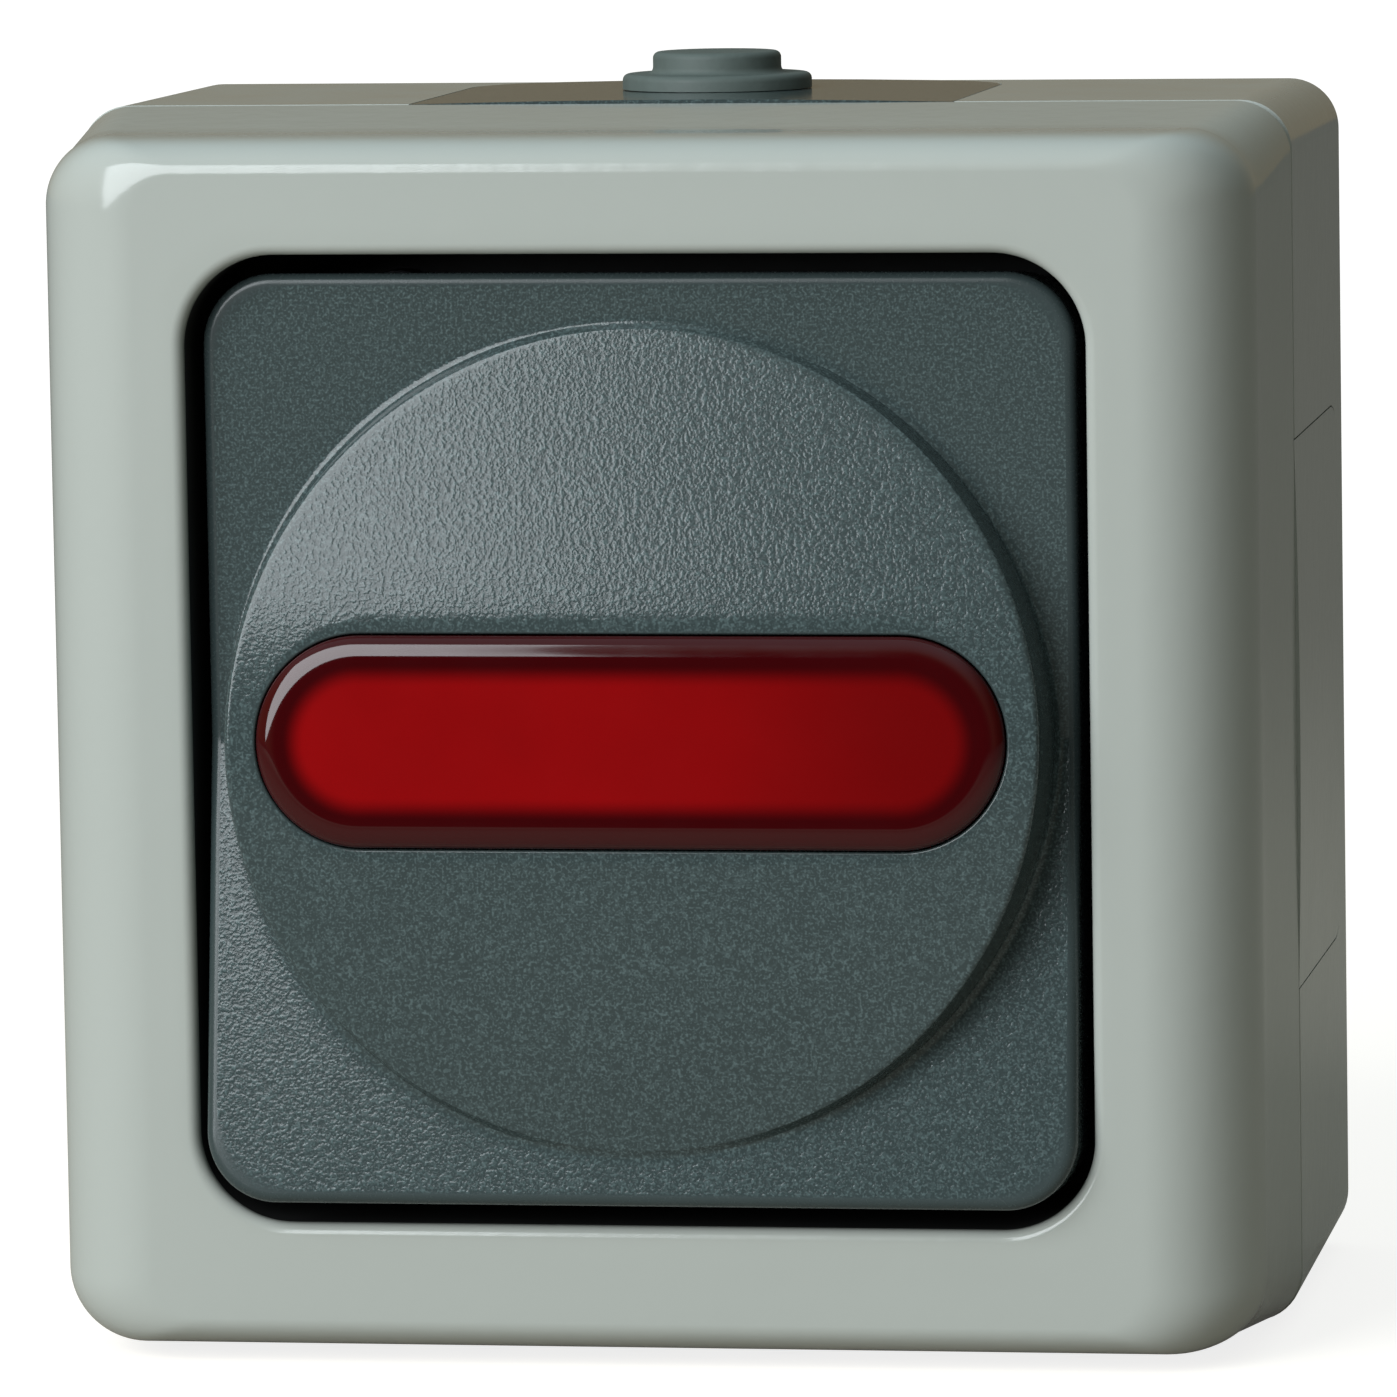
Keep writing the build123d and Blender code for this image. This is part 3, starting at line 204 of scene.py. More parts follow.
class Paint:
    """A material's node tree, in which every node is made by one method."""

    def __init__(self, name, **constants):
        self.material = bpy.data.materials.new(name)
        self.material.use_nodes = True
        self.tree = self.material.node_tree
        self.shader = self.tree.nodes["Principled BSDF"]
        self.set(**constants)
        self.place = self.node("ShaderNodeTexCoord", output="Object")

    def join(self, value, socket):
        if isinstance(value, Wire):
            self.tree.links.new(value.socket, socket)
        else:
            socket.default_value = value

    def node(self, kind, settings=None, inputs=None, output=0):
        node = self.tree.nodes.new(kind)
        for key, value in (settings or {}).items():
            setattr(node, key, value)
        for key, value in (inputs or {}).items():
            self.join(value, node.inputs[key])
        return Wire(self, node.outputs[output])

    def set(self, **values):
        """Sets or links the shader's sockets, named with underscores for spaces."""
        for key, value in values.items():
            self.join(value, self.shader.inputs[key.replace("_", " ").title().replace("Ior", "IOR")])

    def axis(self, name):
        return self.node("ShaderNodeSeparateXYZ", {}, {"Vector": self.place}, name)

    def grain(self, size, detail=2.0, roughness=0.5, stretch=(1, 1, 1)):
        """Noise with features of about a size in metres, longer along an axis where stretch is over 1."""
        scale = tuple(1 / s for s in stretch)
        place = self.node("ShaderNodeVectorMath", {"operation": "MULTIPLY"}, {0: self.place, 1: scale})
        inputs = {"Vector": place, "Scale": 1 / size, "Detail": detail, "Roughness": roughness}
        return self.node("ShaderNodeTexNoise", {}, inputs, "Fac")

    def blend(self, first, second, factor):
        """A colour from first to second by a factor."""
        return self.node("ShaderNodeMix", {"data_type": "RGBA"}, {0: factor, 6: first, 7: second}, 2)

    def trait(self, name):
        """The piece's own attribute, or 0 where it has none."""
        return self.node("ShaderNodeAttribute", {"attribute_name": name}, output="Fac")

    def bump(self, height, distance):
        return self.node("ShaderNodeBump", {}, {"Strength": 1.0, "Distance": distance, "Height": height})


def tone(colour, share):
    """A colour made lighter or darker, its opacity kept."""
    return tuple(min(c * share, 1) for c in colour[:3]) + (1.0,)


def moulded_plastic(name, colour, roughness, variation=0.02, waviness=1.6e-5):
    """Glossy moulded plastic: faint cloudy tone, slow waves in its gloss and the trace of a polished tool.
    The piece's own attribute tells where it is painted near-black and dull, as shade."""
    paint = Paint(name, ior=1.5)
    # Painted shade: near-black colour and a duller gloss where the attribute is set.
    painted_shade = paint.trait("painted_shade")
    skin = paint.blend(tone(colour, 1 - variation), tone(colour, 1 + variation), paint.grain(0.018, 3))
    paint.set(base_color=paint.blend(skin, (0.006, 0.006, 0.006, 1), painted_shade))
    gloss = paint.grain(0.006, 3).fade(0.3, 0.7, roughness * 0.85, roughness * 1.15)
    paint.set(roughness=gloss + painted_shade * 0.6)
    paint.set(normal=paint.bump(paint.grain(0.0016, 2), waviness))
    return paint.material


def grained_plastic(name, colour, roughness, grain_size=0.00027, grain_height=4.2e-6):
    """Plastic from a spark-eroded tool: fine round pits and peaks over a plain dark tone, with painted glints
    on the peaks' tops.
    The piece's own attribute tells where the surface is smooth instead."""
    paint = Paint(name, ior=1.46)
    grained = 1.0 - paint.trait("smooth")
    coarse = paint.grain(grain_size, 1.0, 0.6)
    fine = paint.grain(grain_size / 1.8, 0.0)
    height = (coarse.fade(0.3, 0.75) + fine * 0.4) * grained
    # Painted highlight: light specks on the grain's peaks stand for their glints.
    painted_glints = (fine.fade(0.52, 0.7) * 0.6 + coarse.fade(0.45, 0.7) * 0.4) * grained
    skin = paint.blend(tone(colour, 0.86), tone(colour, 0.96), paint.grain(0.012, 3))
    paint.set(base_color=paint.blend(skin, tone(colour, 2.2), painted_glints))
    gloss = coarse.fade(0.3, 0.8, roughness * 1.15, roughness * 0.85)
    paint.set(roughness=gloss + paint.trait("smooth") * 0.15)
    paint.set(normal=paint.bump(height, grain_height))
    return paint.material


def rubber(name, colour, roughness=0.62):
    """Soft rubber: a dull, slightly dusty skin with fine uneven grain."""
    paint = Paint(name, ior=1.48)
    dust = paint.grain(0.0011, 3, 0.6)
    paint.set(base_color=paint.blend(tone(colour, 0.9), tone(colour, 1.18), dust))
    paint.set(roughness=dust.fade(0.3, 0.7, roughness * 0.9, roughness * 1.1))
    paint.set(normal=paint.bump(paint.grain(0.0003, 2), 1.2e-5))
    return paint.material


def rolled_metal(name, colour, roughness, along=(1, 1, 8)):
    """Rolled or plated metal: fine lines along one axis and clouded gloss."""
    paint = Paint(name, metallic=1.0)
    lines = paint.grain(0.0002, 2, stretch=along)
    cloud = paint.grain(0.003, 3)
    paint.set(base_color=paint.blend(tone(colour, 0.82), tone(colour, 1.08), cloud))
    paint.set(roughness=(lines * 0.2 + cloud * 0.2).fade(0.1, 0.3, roughness * 0.8, roughness * 1.25))
    paint.set(normal=paint.bump(lines, 4e-6))
    return paint.material


def clear_glass(name, colour):
    """Glass of the lamp, tinted warm all over with a faint random cloud, as painted glow of its electrodes.
    """
    paint = Paint(name, ior=1.5, transmission_weight=0.6)
    # Painted glow: the warm tint stands for the glow of the lamp's electrodes.
    paint.set(base_color=paint.blend(tone(colour, 0.9), tone(colour, 1.1), paint.grain(0.002)))
    paint.set(roughness=paint.grain(0.001).fade(0.3, 0.7, 0.04, 0.09))
    return paint.material


class SwitchColours(bpy.types.PropertyGroup):
    """Colours of the finishes."""

    def _colour(label, text, default):
        return bpy.props.FloatVectorProperty(
            name=label, description=text, subtype="COLOR", size=4, min=0, max=1, default=default
        )

    housing: _colour("Housing", "Light grey of the base and front frame", (0.47, 0.493, 0.458, 1))
    rocker: _colour("Rocker", "Dark blue-grey of the rocker and cable entry plate", (0.047, 0.066, 0.067, 1))
    grommet: _colour("Grommet", "Grey rubber of the cable grommet", (0.095, 0.12, 0.11, 1))
    seal: _colour("Seals", "Black rubber of the inner seals", (0.012, 0.012, 0.012, 1))
    # Lens: its own red, painted bright in the middle as glow and painted dark at the rim as shade.
    lens: _colour("Lens", "Red of the lens, painted bright in its middle as glow", (0.3, 0.002, 0.003, 1))
    lens_rim_shade: _colour("Lens rim shade", "Painted shade of the lens's rim, where it is seen through its full depth", (0.045, 0.0, 0.001, 1))
    insert: _colour("Insert", "White thermoset of the switch insert", (0.78, 0.77, 0.72, 1))
    cradle: _colour("Cradle", "Grey plastic of the rocker's cradle", (0.25, 0.26, 0.26, 1))


class FrameSizes(bpy.types.PropertyGroup):
    """Front frame. Half sizes are from the middle, and depths are in front of the wall."""

    def _length(label, text, millimetres):
        return bpy.props.FloatProperty(
            name=label, description=text, unit="LENGTH", min=0, default=millimetres * MM
        )

    joint_depth: _length("Joint depth", "Where the frame meets the base", 29.0)
    joint_half: _length("Joint half size", "Half the frame's width and height at the joint", 37.5)
    joint_corner: _length("Joint corner", "Corner radius at the joint", 3.4)
    joint_edge: _length("Joint edge", "Rounding of the frame's rear edge", 0.25)
    inner_corner: _length("Inner corner", "Corner radius of the shell's inside at the joint", 2.0)
    crease_depth: _length("Crease depth", "Where the flank turns into the crown", 41.0)
    crease_half_width: _length("Crease half width", "Half the width where the crown starts", 36.8)
    crease_half_height: _length("Crease half height", "Half the height where the crown starts", 36.7)
    crease_corner: _length("Crease corner", "Corner radius where the crown starts", 4.3)
    crown_fullness: bpy.props.FloatProperty(
        name="Crown fullness", description="Power of the crown's curve above and below, 2 being an ellipse",
        min=1, default=4.4,
    )
    front_depth: _length("Front depth", "Depth of the flat front", 48.4)
    flat_half_width: _length("Flat half width", "Half the width of the flat front", 30.1)
    flat_half_height: _length("Flat half height", "Half the height of the flat front", 34.6)
    flat_corner: _length("Flat corner", "Corner radius of the flat front", 2.6)
    opening_half_width: _length("Opening half width", "Half the width of the opening", 27.25)
    opening_half_height: _length("Opening half height", "Half the height of the opening", 29.3)
    opening_corner: _length("Opening corner", "Corner radius of the opening", 5.6)
    opening_rise: _length("Opening rise", "How far the opening's middle lies above the frame's", 0.5)
    opening_edge: _length("Opening edge", "Rounding of the opening's edge", 0.7)
    well_floor: _length("Well floor", "Depth of the front of the well's floor", 35.5)
    well_rear: _length("Well rear", "Depth of the back of the well's floor", 33.5)
    window_half_width: _length("Window half width", "Half the width of the window in the floor", 19.0)
    window_half_height: _length("Window half height", "Half the height of the window in the floor", 15.5)
    window_corner: _length("Window corner", "Corner radius of the window in the floor", 3.0)
    # Painted shade in the well starts this far behind the opening's rounded edge.
    painted_shade_start: _length("Painted shade start", "How far behind the rounded edge the painted shade in the well starts", 0.2)
    collar: _length("Collar", "Thickness of the well's wall", 1.5)
    wall: _length("Wall", "Thickness of the shell", 2.4)
    tongue_half: _length("Tongue half size", "Half size of the tongue that enters the base", 36.3)
    tongue_end: _length("Tongue end", "Depth where the tongue ends", 27.75)
    tongue_wall: _length("Tongue wall", "Thickness of the tongue", 1.1)
    tongue_corner: _length("Tongue corner", "Corner radius of the tongue", 2.0)


class RockerSizes(bpy.types.PropertyGroup):
    """Rocker cap and lens. Heights are in front of the hinge line."""

    def _length(label, text, millimetres):
        return bpy.props.FloatProperty(
            name=label, description=text, unit="LENGTH", soft_min=-0.01, default=millimetres * MM
        )

    half_width: _length("Half width", "Half the rocker's width", 26.45)
    half_height: _length("Half height", "Half the rocker's height", 27.95)
    corner: _length("Corner", "Corner radius of the rocker", 4.3)
    edge: _length("Edge", "Rounding of the rocker's front edge", 0.65)
    face: _length("Face", "Height of the face at its upper and lower edges", 5.0)
    under: _length("Under", "Height of the face's underside", 3.2)
    skirt_end: _length("Skirt end", "Height where the skirt ends", -2.5)
    skirt_wall: _length("Skirt wall", "Thickness of the skirt", 1.6)
    bulge_radius: _length("Bulge radius", "Radius of the round bulge", 24.6)
    bulge_rise: _length("Bulge rise", "How far the bulge stands up along its middle", 2.75)
    bulge_foot: _length("Bulge foot", "Width of the hollow curve round the bulge's foot", 0.6)
    bulge_edge: _length("Bulge edge", "Rounding of the bulge's edge", 0.35)
    bulge_draft: bpy.props.FloatProperty(
        name="Bulge draft", description="How far the bulge's wall leans outwards to its foot",
        subtype="ANGLE", default=np.radians(5),
    )
    slot_edge: _length("Slot edge", "Rounding of the lens slot's edge", 0.16)
    lens_half_width: _length("Lens half width", "Half the length of the lens", 22.6)
    lens_half_height: _length("Lens half height", "Half the height of the lens", 6.35)
    lens_gap: _length("Lens gap", "Gap round the lens", 0.09)
    lens_edge: _length("Lens edge", "How far the rounding of the lens's rim reaches inwards", 1.35)
    lens_edge_depth: _length("Lens edge depth", "How far the rounding of the lens's rim reaches back", 0.75)
    lens_front: _length("Lens front", "Height of the lens's flat front", 8.44)
    lens_rear: _length("Lens rear", "Height of the back of the lens's flange", 2.2)
    lens_wall: _length("Lens wall", "Thickness of the lens", 1.5)
    lens_flange: _length("Lens flange", "How far the flange stands out behind the seat", 1.2)
    # Painted light on the lens: between these two distances inside its edge, the painted shade of the rim
    # fades into the painted glow of the middle.
    shade_start: _length("Shade start", "How far inside the lens's edge the painted rim shade starts to fade", 1.7)
    shade_end: _length("Shade end", "How far inside the lens's edge its full red is reached", 3.1)


class GrommetSizes(bpy.types.PropertyGroup):
    """Cable grommet on the top plate."""

    def _length(label, text, millimetres):
        return bpy.props.FloatProperty(
            name=label, description=text, unit="LENGTH", min=0, default=millimetres * MM
        )

    seat: _length("Seat", "Height of the plate's outer face at the grommet", 37.5)
    depth: _length("Depth", "Distance of the grommet's axis from the wall", 14.5)
    flange_radius: _length("Flange radius", "Radius of the outer flange", 5.9)
    flange_height: _length("Flange height", "Height of the outer flange", 0.95)
    disc_radius: _length("Disc radius", "Radius of the raised disc", 4.0)
    disc_height: _length("Disc height", "Height of the disc above the flange", 1.35)
    edge: _length("Edge", "Rounding of both edges", 0.4)
    neck_radius: _length("Neck radius", "Radius inside the plate's hole", 4.65)
    neck_length: _length("Neck length", "Length of the neck through the plate", 3.9)
    tail_radius: _length("Tail radius", "Radius at the tail's end", 3.8)
    tail_length: _length("Tail length", "Length of the tail inside the housing", 5.0)
    bore_radius: _length("Bore radius", "Radius of the blind bore", 2.9)
    film: _length("Film", "Thickness of the closed top", 0.8)
    lean: bpy.props.FloatProperty(
        name="Lean", description="How far the plug leans with the base's drafted top", subtype="ANGLE",
        default=np.arctan(0.5 / 29),
    )


class StageSettings(bpy.types.PropertyGroup):
    """Camera, floor and light."""

    camera_place: bpy.props.FloatVectorProperty(
        name="Camera", description="Place of the camera", subtype="TRANSLATION", unit="LENGTH",
        default=(0.11046, -0.6898, 0.08122),
    )
    camera_turn: bpy.props.FloatProperty(
        name="Turn", description="How far the camera looks to the left of straight back",
        subtype="ANGLE", default=np.radians(9.44),
    )
    camera_dip: bpy.props.FloatProperty(
        name="Dip", description="How far the camera looks down", subtype="ANGLE", default=np.radians(6.838)
    )
    camera_roll: bpy.props.FloatProperty(
        name="Roll", description="Roll of the camera", subtype="ANGLE", default=np.radians(0.925)
    )
    lens: bpy.props.FloatProperty(
        name="Lens", description="Focal length on a 36 mm sensor, in millimetres", default=282.97
    )
    floor_height: bpy.props.FloatProperty(
        name="Floor", description="Height of the floor", unit="LENGTH", default=-37.5 * MM
    )
    lamp_place: bpy.props.FloatVectorProperty(
        name="Lamp", description="Place of the soft lamp", subtype="TRANSLATION", unit="LENGTH",
        default=(-0.5, -0.789, 0.425),
    )
    lamp_target: bpy.props.FloatVectorProperty(
        name="Lamp target", description="Point that the lamp faces", subtype="TRANSLATION", unit="LENGTH",
        default=(0, -0.045, 0),
    )
    lamp_size: bpy.props.FloatVectorProperty(
        name="Lamp size", description="Width and height of the lamp", size=2, unit="LENGTH",
        default=(0.71, 0.74),
    )
    lamp_power: bpy.props.FloatProperty(
        name="Lamp power", description="Power of the soft lamp, in watts", default=11.1
    )
    lamp_colour: bpy.props.FloatVectorProperty(
        name="Lamp colour", description="Colour of its light", subtype="COLOR", default=(0.9, 0.96, 1)
    )
    ambient: bpy.props.FloatVectorProperty(
        name="Ambient", description="Dim warm light from all round", subtype="COLOR",
        default=(0.2, 0.17, 0.115),
    )
    right_share: bpy.props.FloatProperty(
        name="Right share", description="Share of the ambient light that comes from the right", default=0.3
    )
    overhead: bpy.props.FloatVectorProperty(
        name="Overhead", description="Light from above", subtype="COLOR", default=(0.42, 0.54, 0.58)
    )


class SWITCH_OT_front_frame(bpy.types.Operator):
    """Makes the front frame: drafted flanks, a crown that is fuller above and below, the flat and the well"""

    bl_idname = "switch.front_frame"
    bl_label = "Front frame"

    def execute(self, context):
        s = context.scene.switch_frame
        edge = s.joint_edge
        tucked = (s.joint_half - edge, s.joint_half - edge, s.joint_corner - edge, s.joint_depth, 0)
        flank = (s.joint_half, s.joint_half, s.joint_corner, s.joint_depth + edge, 0)
        crease = (s.crease_half_width, s.crease_half_height, s.crease_corner, s.crease_depth, 0)
        flat = (s.flat_half_width, s.flat_half_height, s.flat_corner, s.front_depth, 0)
        rise, rim = s.opening_rise, s.opening_edge
        half_width, half_height, corner = s.opening_half_width, s.opening_half_height, s.opening_corner
        lip = (half_width + rim, half_height + rim, corner + rim, s.front_depth, rise)
        mouth = (half_width, half_height, corner, s.front_depth - rim, rise)
        foot = (half_width, half_height, corner, s.well_floor, rise)
        window = (s.window_half_width, s.window_half_height, s.window_corner, s.well_floor, HINGE_RISE)
        under = (s.window_half_width, s.window_half_height, s.window_corner, s.well_rear, HINGE_RISE)
        collar = s.collar
        collar_foot = (half_width + collar, half_height + collar, corner + collar, s.well_rear, rise)
        ceiling = s.front_depth - s.wall
        collar_top = (half_width + collar, half_height + collar, corner + collar, ceiling, rise)
        inner_flat = (flat[0] - MM, flat[1] - MM, 2.2 * MM, ceiling, 0)
        inner_crease = (crease[0] - s.wall, crease[1] - s.wall, 3 * MM, s.crease_depth, 0)
        inner_joint = (s.joint_half - s.wall, s.joint_half - s.wall, s.inner_corner, s.joint_depth, 0)
        tongue_inner = s.tongue_half - s.tongue_wall
        tongue_in = (tongue_inner, tongue_inner, s.tongue_corner / 2, s.tongue_end, 0)
        tongue_out = (s.tongue_half, s.tongue_half, s.tongue_corner, s.tongue_end, 0)
        tongue_root = (s.tongue_half, s.tongue_half, s.tongue_corner, s.joint_depth, 0)
        crown = run(crease, flat, *turn_in(41))
        forward = (crown[:, 3] - s.crease_depth) / (s.front_depth - s.crease_depth)
        full = np.sqrt(1 - np.clip(forward, 0, 1) ** s.crown_fullness)
        crown[:, 1] = s.flat_half_height + (s.crease_half_height - s.flat_half_height) * full
        rings = np.vstack([
            run(tucked, flank, *turn_in(5)),
            run(flank, crease, straight(8))[1:],
            crown[1:],
            run(flat, lip, straight(4))[1:],
            run(lip, mouth, *turn_back(9))[1:],
            run(mouth, foot, np.array([0, 0.01, 0.025, 0.5, 1]))[1:],
            run(foot, window, straight(4))[1:],
            run(window, under, straight(2))[1:],
            run(under, collar_foot, straight(3))[1:],
            run(collar_foot, collar_top, straight(3))[1:],
            run(collar_top, inner_flat, straight(3))[1:],
            run(inner_flat, inner_crease, *turn_back(9))[1:],
            run(inner_crease, inner_joint, straight(3))[1:],
            run(inner_joint, tongue_in, straight(2))[1:],
            run(tongue_in, tongue_out, straight(2))[1:],
            run(tongue_out, tongue_root, straight(2))[1:],
        ])
        # Painted shade: the well's wall and floor, from a little behind the opening's rounded edge, are
        # painted near-black and dull, as the gap round the rocker lies in deep shade.
        in_well = (rings[:, 0] < half_width + collar / 2) & (rings[:, 3] > s.well_rear)
        shaded_well = in_well & (rings[:, 3] < mouth[3] - s.painted_shade_start)
        add_skin(
            "front_frame_shell", ring_points(rings, bearings(480)), finishes["housing_grey"],
            replaces=["front_frame"], traits={"painted_shade": shaded_well},
        )
        return {"FINISHED"}


def bulge_height(up, radius, rise):
    """How far the bulge stands over the flat face at a distance up from the hinge line: an arc over the
    circle's radius with the given rise, and nothing outside it."""
    curve = (radius**2 + rise**2) / (2 * rise)
    return np.maximum(np.sqrt(np.maximum(curve**2 - up**2, 0)) - (curve - rise), 0)


class SWITCH_OT_rocker(bpy.types.Operator):
    """Makes the rocker cap: a key folded at its middle, the round bulge, the lens slot and the skirt"""

    bl_idname = "switch.rocker"
    bl_label = "Rocker cap"

    def execute(self, context):
        s = context.scene.switch_rocker
        width, height, corner, edge = s.half_width, s.half_height, s.corner, s.edge
        radius, foot, lip = s.bulge_radius, s.bulge_foot, s.bulge_edge
        slot_width, slot_height = s.lens_half_width + s.lens_gap, s.lens_half_height + s.lens_gap
        wall = s.skirt_wall
        fold = height * np.tan(ROCKER_TILT)
        wall_height = s.bulge_rise + fold
        lean = wall_height * np.tan(s.bulge_draft)
        share, lip_share = foot / wall_height, lip / wall_height
        quarter = np.linspace(0, np.pi / 2, 7)

        def disc(size, height_share):
            """A round ring on the face or, by its share of the bulge's height, above it."""
            return (size, size, size, s.face, height_share, 1)

        skirt = (width, height, corner, s.skirt_end, 0, 0)
        shoulder = (width, height, corner, s.face - edge, 0, 1)
        rim = (width - edge, height - edge, corner - edge, s.face, 0, 1)
        low, high = radius + lean * (1 - share), radius
        slot_lip = (slot_width + s.slot_edge, *[slot_height + s.slot_edge] * 2, s.face, 1, 1)
        slot = (slot_width, slot_height, slot_height, s.face - s.slot_edge, 1, 1)
        slot_end = (slot_width, slot_height, slot_height, s.under, 0, 0)
        under = (width - wall, height - wall, corner - wall, s.under, 0, 0)
        skirt_in = (width - wall, height - wall, corner - wall, s.skirt_end, 0, 0)
        parts = [
            (run(skirt, shoulder, straight(5)), 1),
            (run(shoulder, rim, *turn_in(9))[1:], 1),
            (run(rim, disc(low + foot, 0), straight(12))[1:], 0),
            (np.array([disc(low + foot * (1 - np.sin(a)), share * (1 - np.cos(a))) for a in quarter])[1:], 0),
            (run(disc(low, share), disc(high, 1 - lip_share), straight(4))[1:], 0),
            (np.array([
                disc(high - lip * (1 - np.cos(a)), 1 - lip_share * (1 - np.sin(a))) for a in quarter
            ])[1:], 0),
            (run(disc(high - lip, 1), slot_lip, straight(16))[1:], 0),
            (run(slot_lip, slot, *turn_in(5)[::-1])[1:], 1),
            (run(slot, slot_end, straight(4))[1:], 1),
            (run(slot_end, under, straight(4))[1:], 1),
            (run(under, skirt_in, straight(4))[1:], 1),
        ]
        rings = np.vstack([part for part, _ in parts])
        smooth = np.concatenate([np.full(len(part), value, float) for part, value in parts])
        bearing = bearings(720)
        far = reach(rings[:, 0:1], rings[:, 1:2], rings[:, 2:3], bearing[None, :])
        x, up = far * np.cos(bearing), far * np.sin(bearing)
        dip = fold * (1 - np.abs(up) / height)
        rise = bulge_height(up, radius, s.bulge_rise) + dip
        out = rings[:, 3:4] - rings[:, 5:6] * dip + rings[:, 4:5] * rise
        add_skin(
            "rocker_key", on_rocker(x, up, out), finishes["dark_plastic"],
            body="rocker", replaces=["rocker_cap"], crease=24, traits={"smooth": smooth},
        )
        return {"FINISHED"}


class SWITCH_OT_lens(bpy.types.Operator):
    """Makes the lens: a stadium-shaped cup with a rounded rim, a flat front and a flange behind"""

    bl_idname = "switch.lens"
    bl_label = "Lens"

    def execute(self, context):
        s = context.scene.switch_rocker
        width, height, edge, wall = s.lens_half_width, s.lens_half_height, s.lens_edge, s.lens_wall
        shoulder = s.lens_front - s.lens_edge_depth
        flange, seat = s.lens_flange, s.under - 0.05 * MM

        def stadium(inset, front):
            return (width - inset, height - inset, height - inset, front, 0)

        back, inner_edge, middle = s.lens_front - wall, 0.5 * MM, height - 0.2 * MM
        rings = np.vstack([
            run(stadium(wall, s.lens_rear), stadium(-flange, s.lens_rear), straight(2)),
            run(stadium(-flange, s.lens_rear), stadium(-flange, seat), straight(2))[1:],
            run(stadium(-flange, seat), stadium(0, seat), straight(2))[1:],
            run(stadium(0, seat), stadium(0, shoulder), straight(5))[1:],
            run(stadium(0, shoulder), stadium(edge, s.lens_front), *turn_in(17))[1:],
            run(stadium(edge, s.lens_front), stadium(middle, s.lens_front), straight(6))[1:],
        ])
        inside = np.vstack([
            run(stadium(middle, back), stadium(wall + inner_edge, back), straight(3)),
            run(stadium(wall + inner_edge, back), stadium(wall, back - inner_edge), *turn_back(5))[1:],
            run(stadium(wall, back - inner_edge), stadium(wall, s.lens_rear), straight(3))[1:-1],
        ])
        bearing = np.linspace(0, 2 * np.pi, 480, endpoint=False)
        bearing = bearing - 0.3 * np.sin(2 * bearing)
        both = np.vstack([inside, rings])
        far = reach(both[:, 0:1], both[:, 1:2], both[:, 2:3], bearing[None, :])
        points = on_rocker(far * np.cos(bearing), far * np.sin(bearing), both[:, 3:4] + 0 * far)
        add_skin(
            "lens_cup", points, finishes["red_lens"], looped=False, body="rocker",
            replaces=["lens"], crease=40,
        )
        return {"FINISHED"}


class SWITCH_OT_grommet(bpy.types.Operator):
    """Makes the cable grommet: a profile turned about its axis, closed on top and bored from below"""

    bl_idname = "switch.grommet"
    bl_label = "Cable grommet"

    def execute(self, context):
        s = context.scene.switch_grommet
        edge, flange, disc = s.edge, s.flange_height, s.flange_height + s.disc_height
        inner = -s.neck_length
        quarter = np.linspace(0, np.pi / 2, 7)
        by_cos, by_sin = 1 - np.cos(quarter), 1 - np.sin(quarter)
        profile = np.vstack([
            [(0.05 * MM, disc - s.film), (s.bore_radius, disc - s.film)],
            [(s.bore_radius, inner - s.tail_length), (s.tail_radius, inner - s.tail_length)],
            [(s.neck_radius, inner - flange), (s.flange_radius, inner - flange), (s.flange_radius, inner)],
            [(s.neck_radius, inner), (s.neck_radius, 0), (s.flange_radius, 0)],
            np.stack([s.flange_radius - edge * by_cos, flange - edge * by_sin], 1),
            np.stack([s.disc_radius + edge * by_sin, flange + edge * by_cos], 1),
            np.stack([s.disc_radius - edge * by_cos, disc - edge * by_sin], 1),
            [(s.disc_radius * 0.5, disc), (0.05 * MM, disc)],
        ])
        angle = np.linspace(0, 2 * np.pi, 128, endpoint=False)[None, :]
        radius, high = profile[:, 0:1], profile[:, 1:2]
        x, y = radius * np.cos(angle), -s.depth + radius * np.sin(angle)
        z = s.seat + high + 0 * x
        y, z = y + (z - s.seat) * np.sin(s.lean), z - (y + s.depth) * np.sin(s.lean)
        add_skin(
            "grommet_plug", np.stack([x, y, z], axis=-1), finishes["dark_rubber"],
            looped=False, replaces=["cable_grommet"], crease=35,
        )
        return {"FINISHED"}


finishes = {}


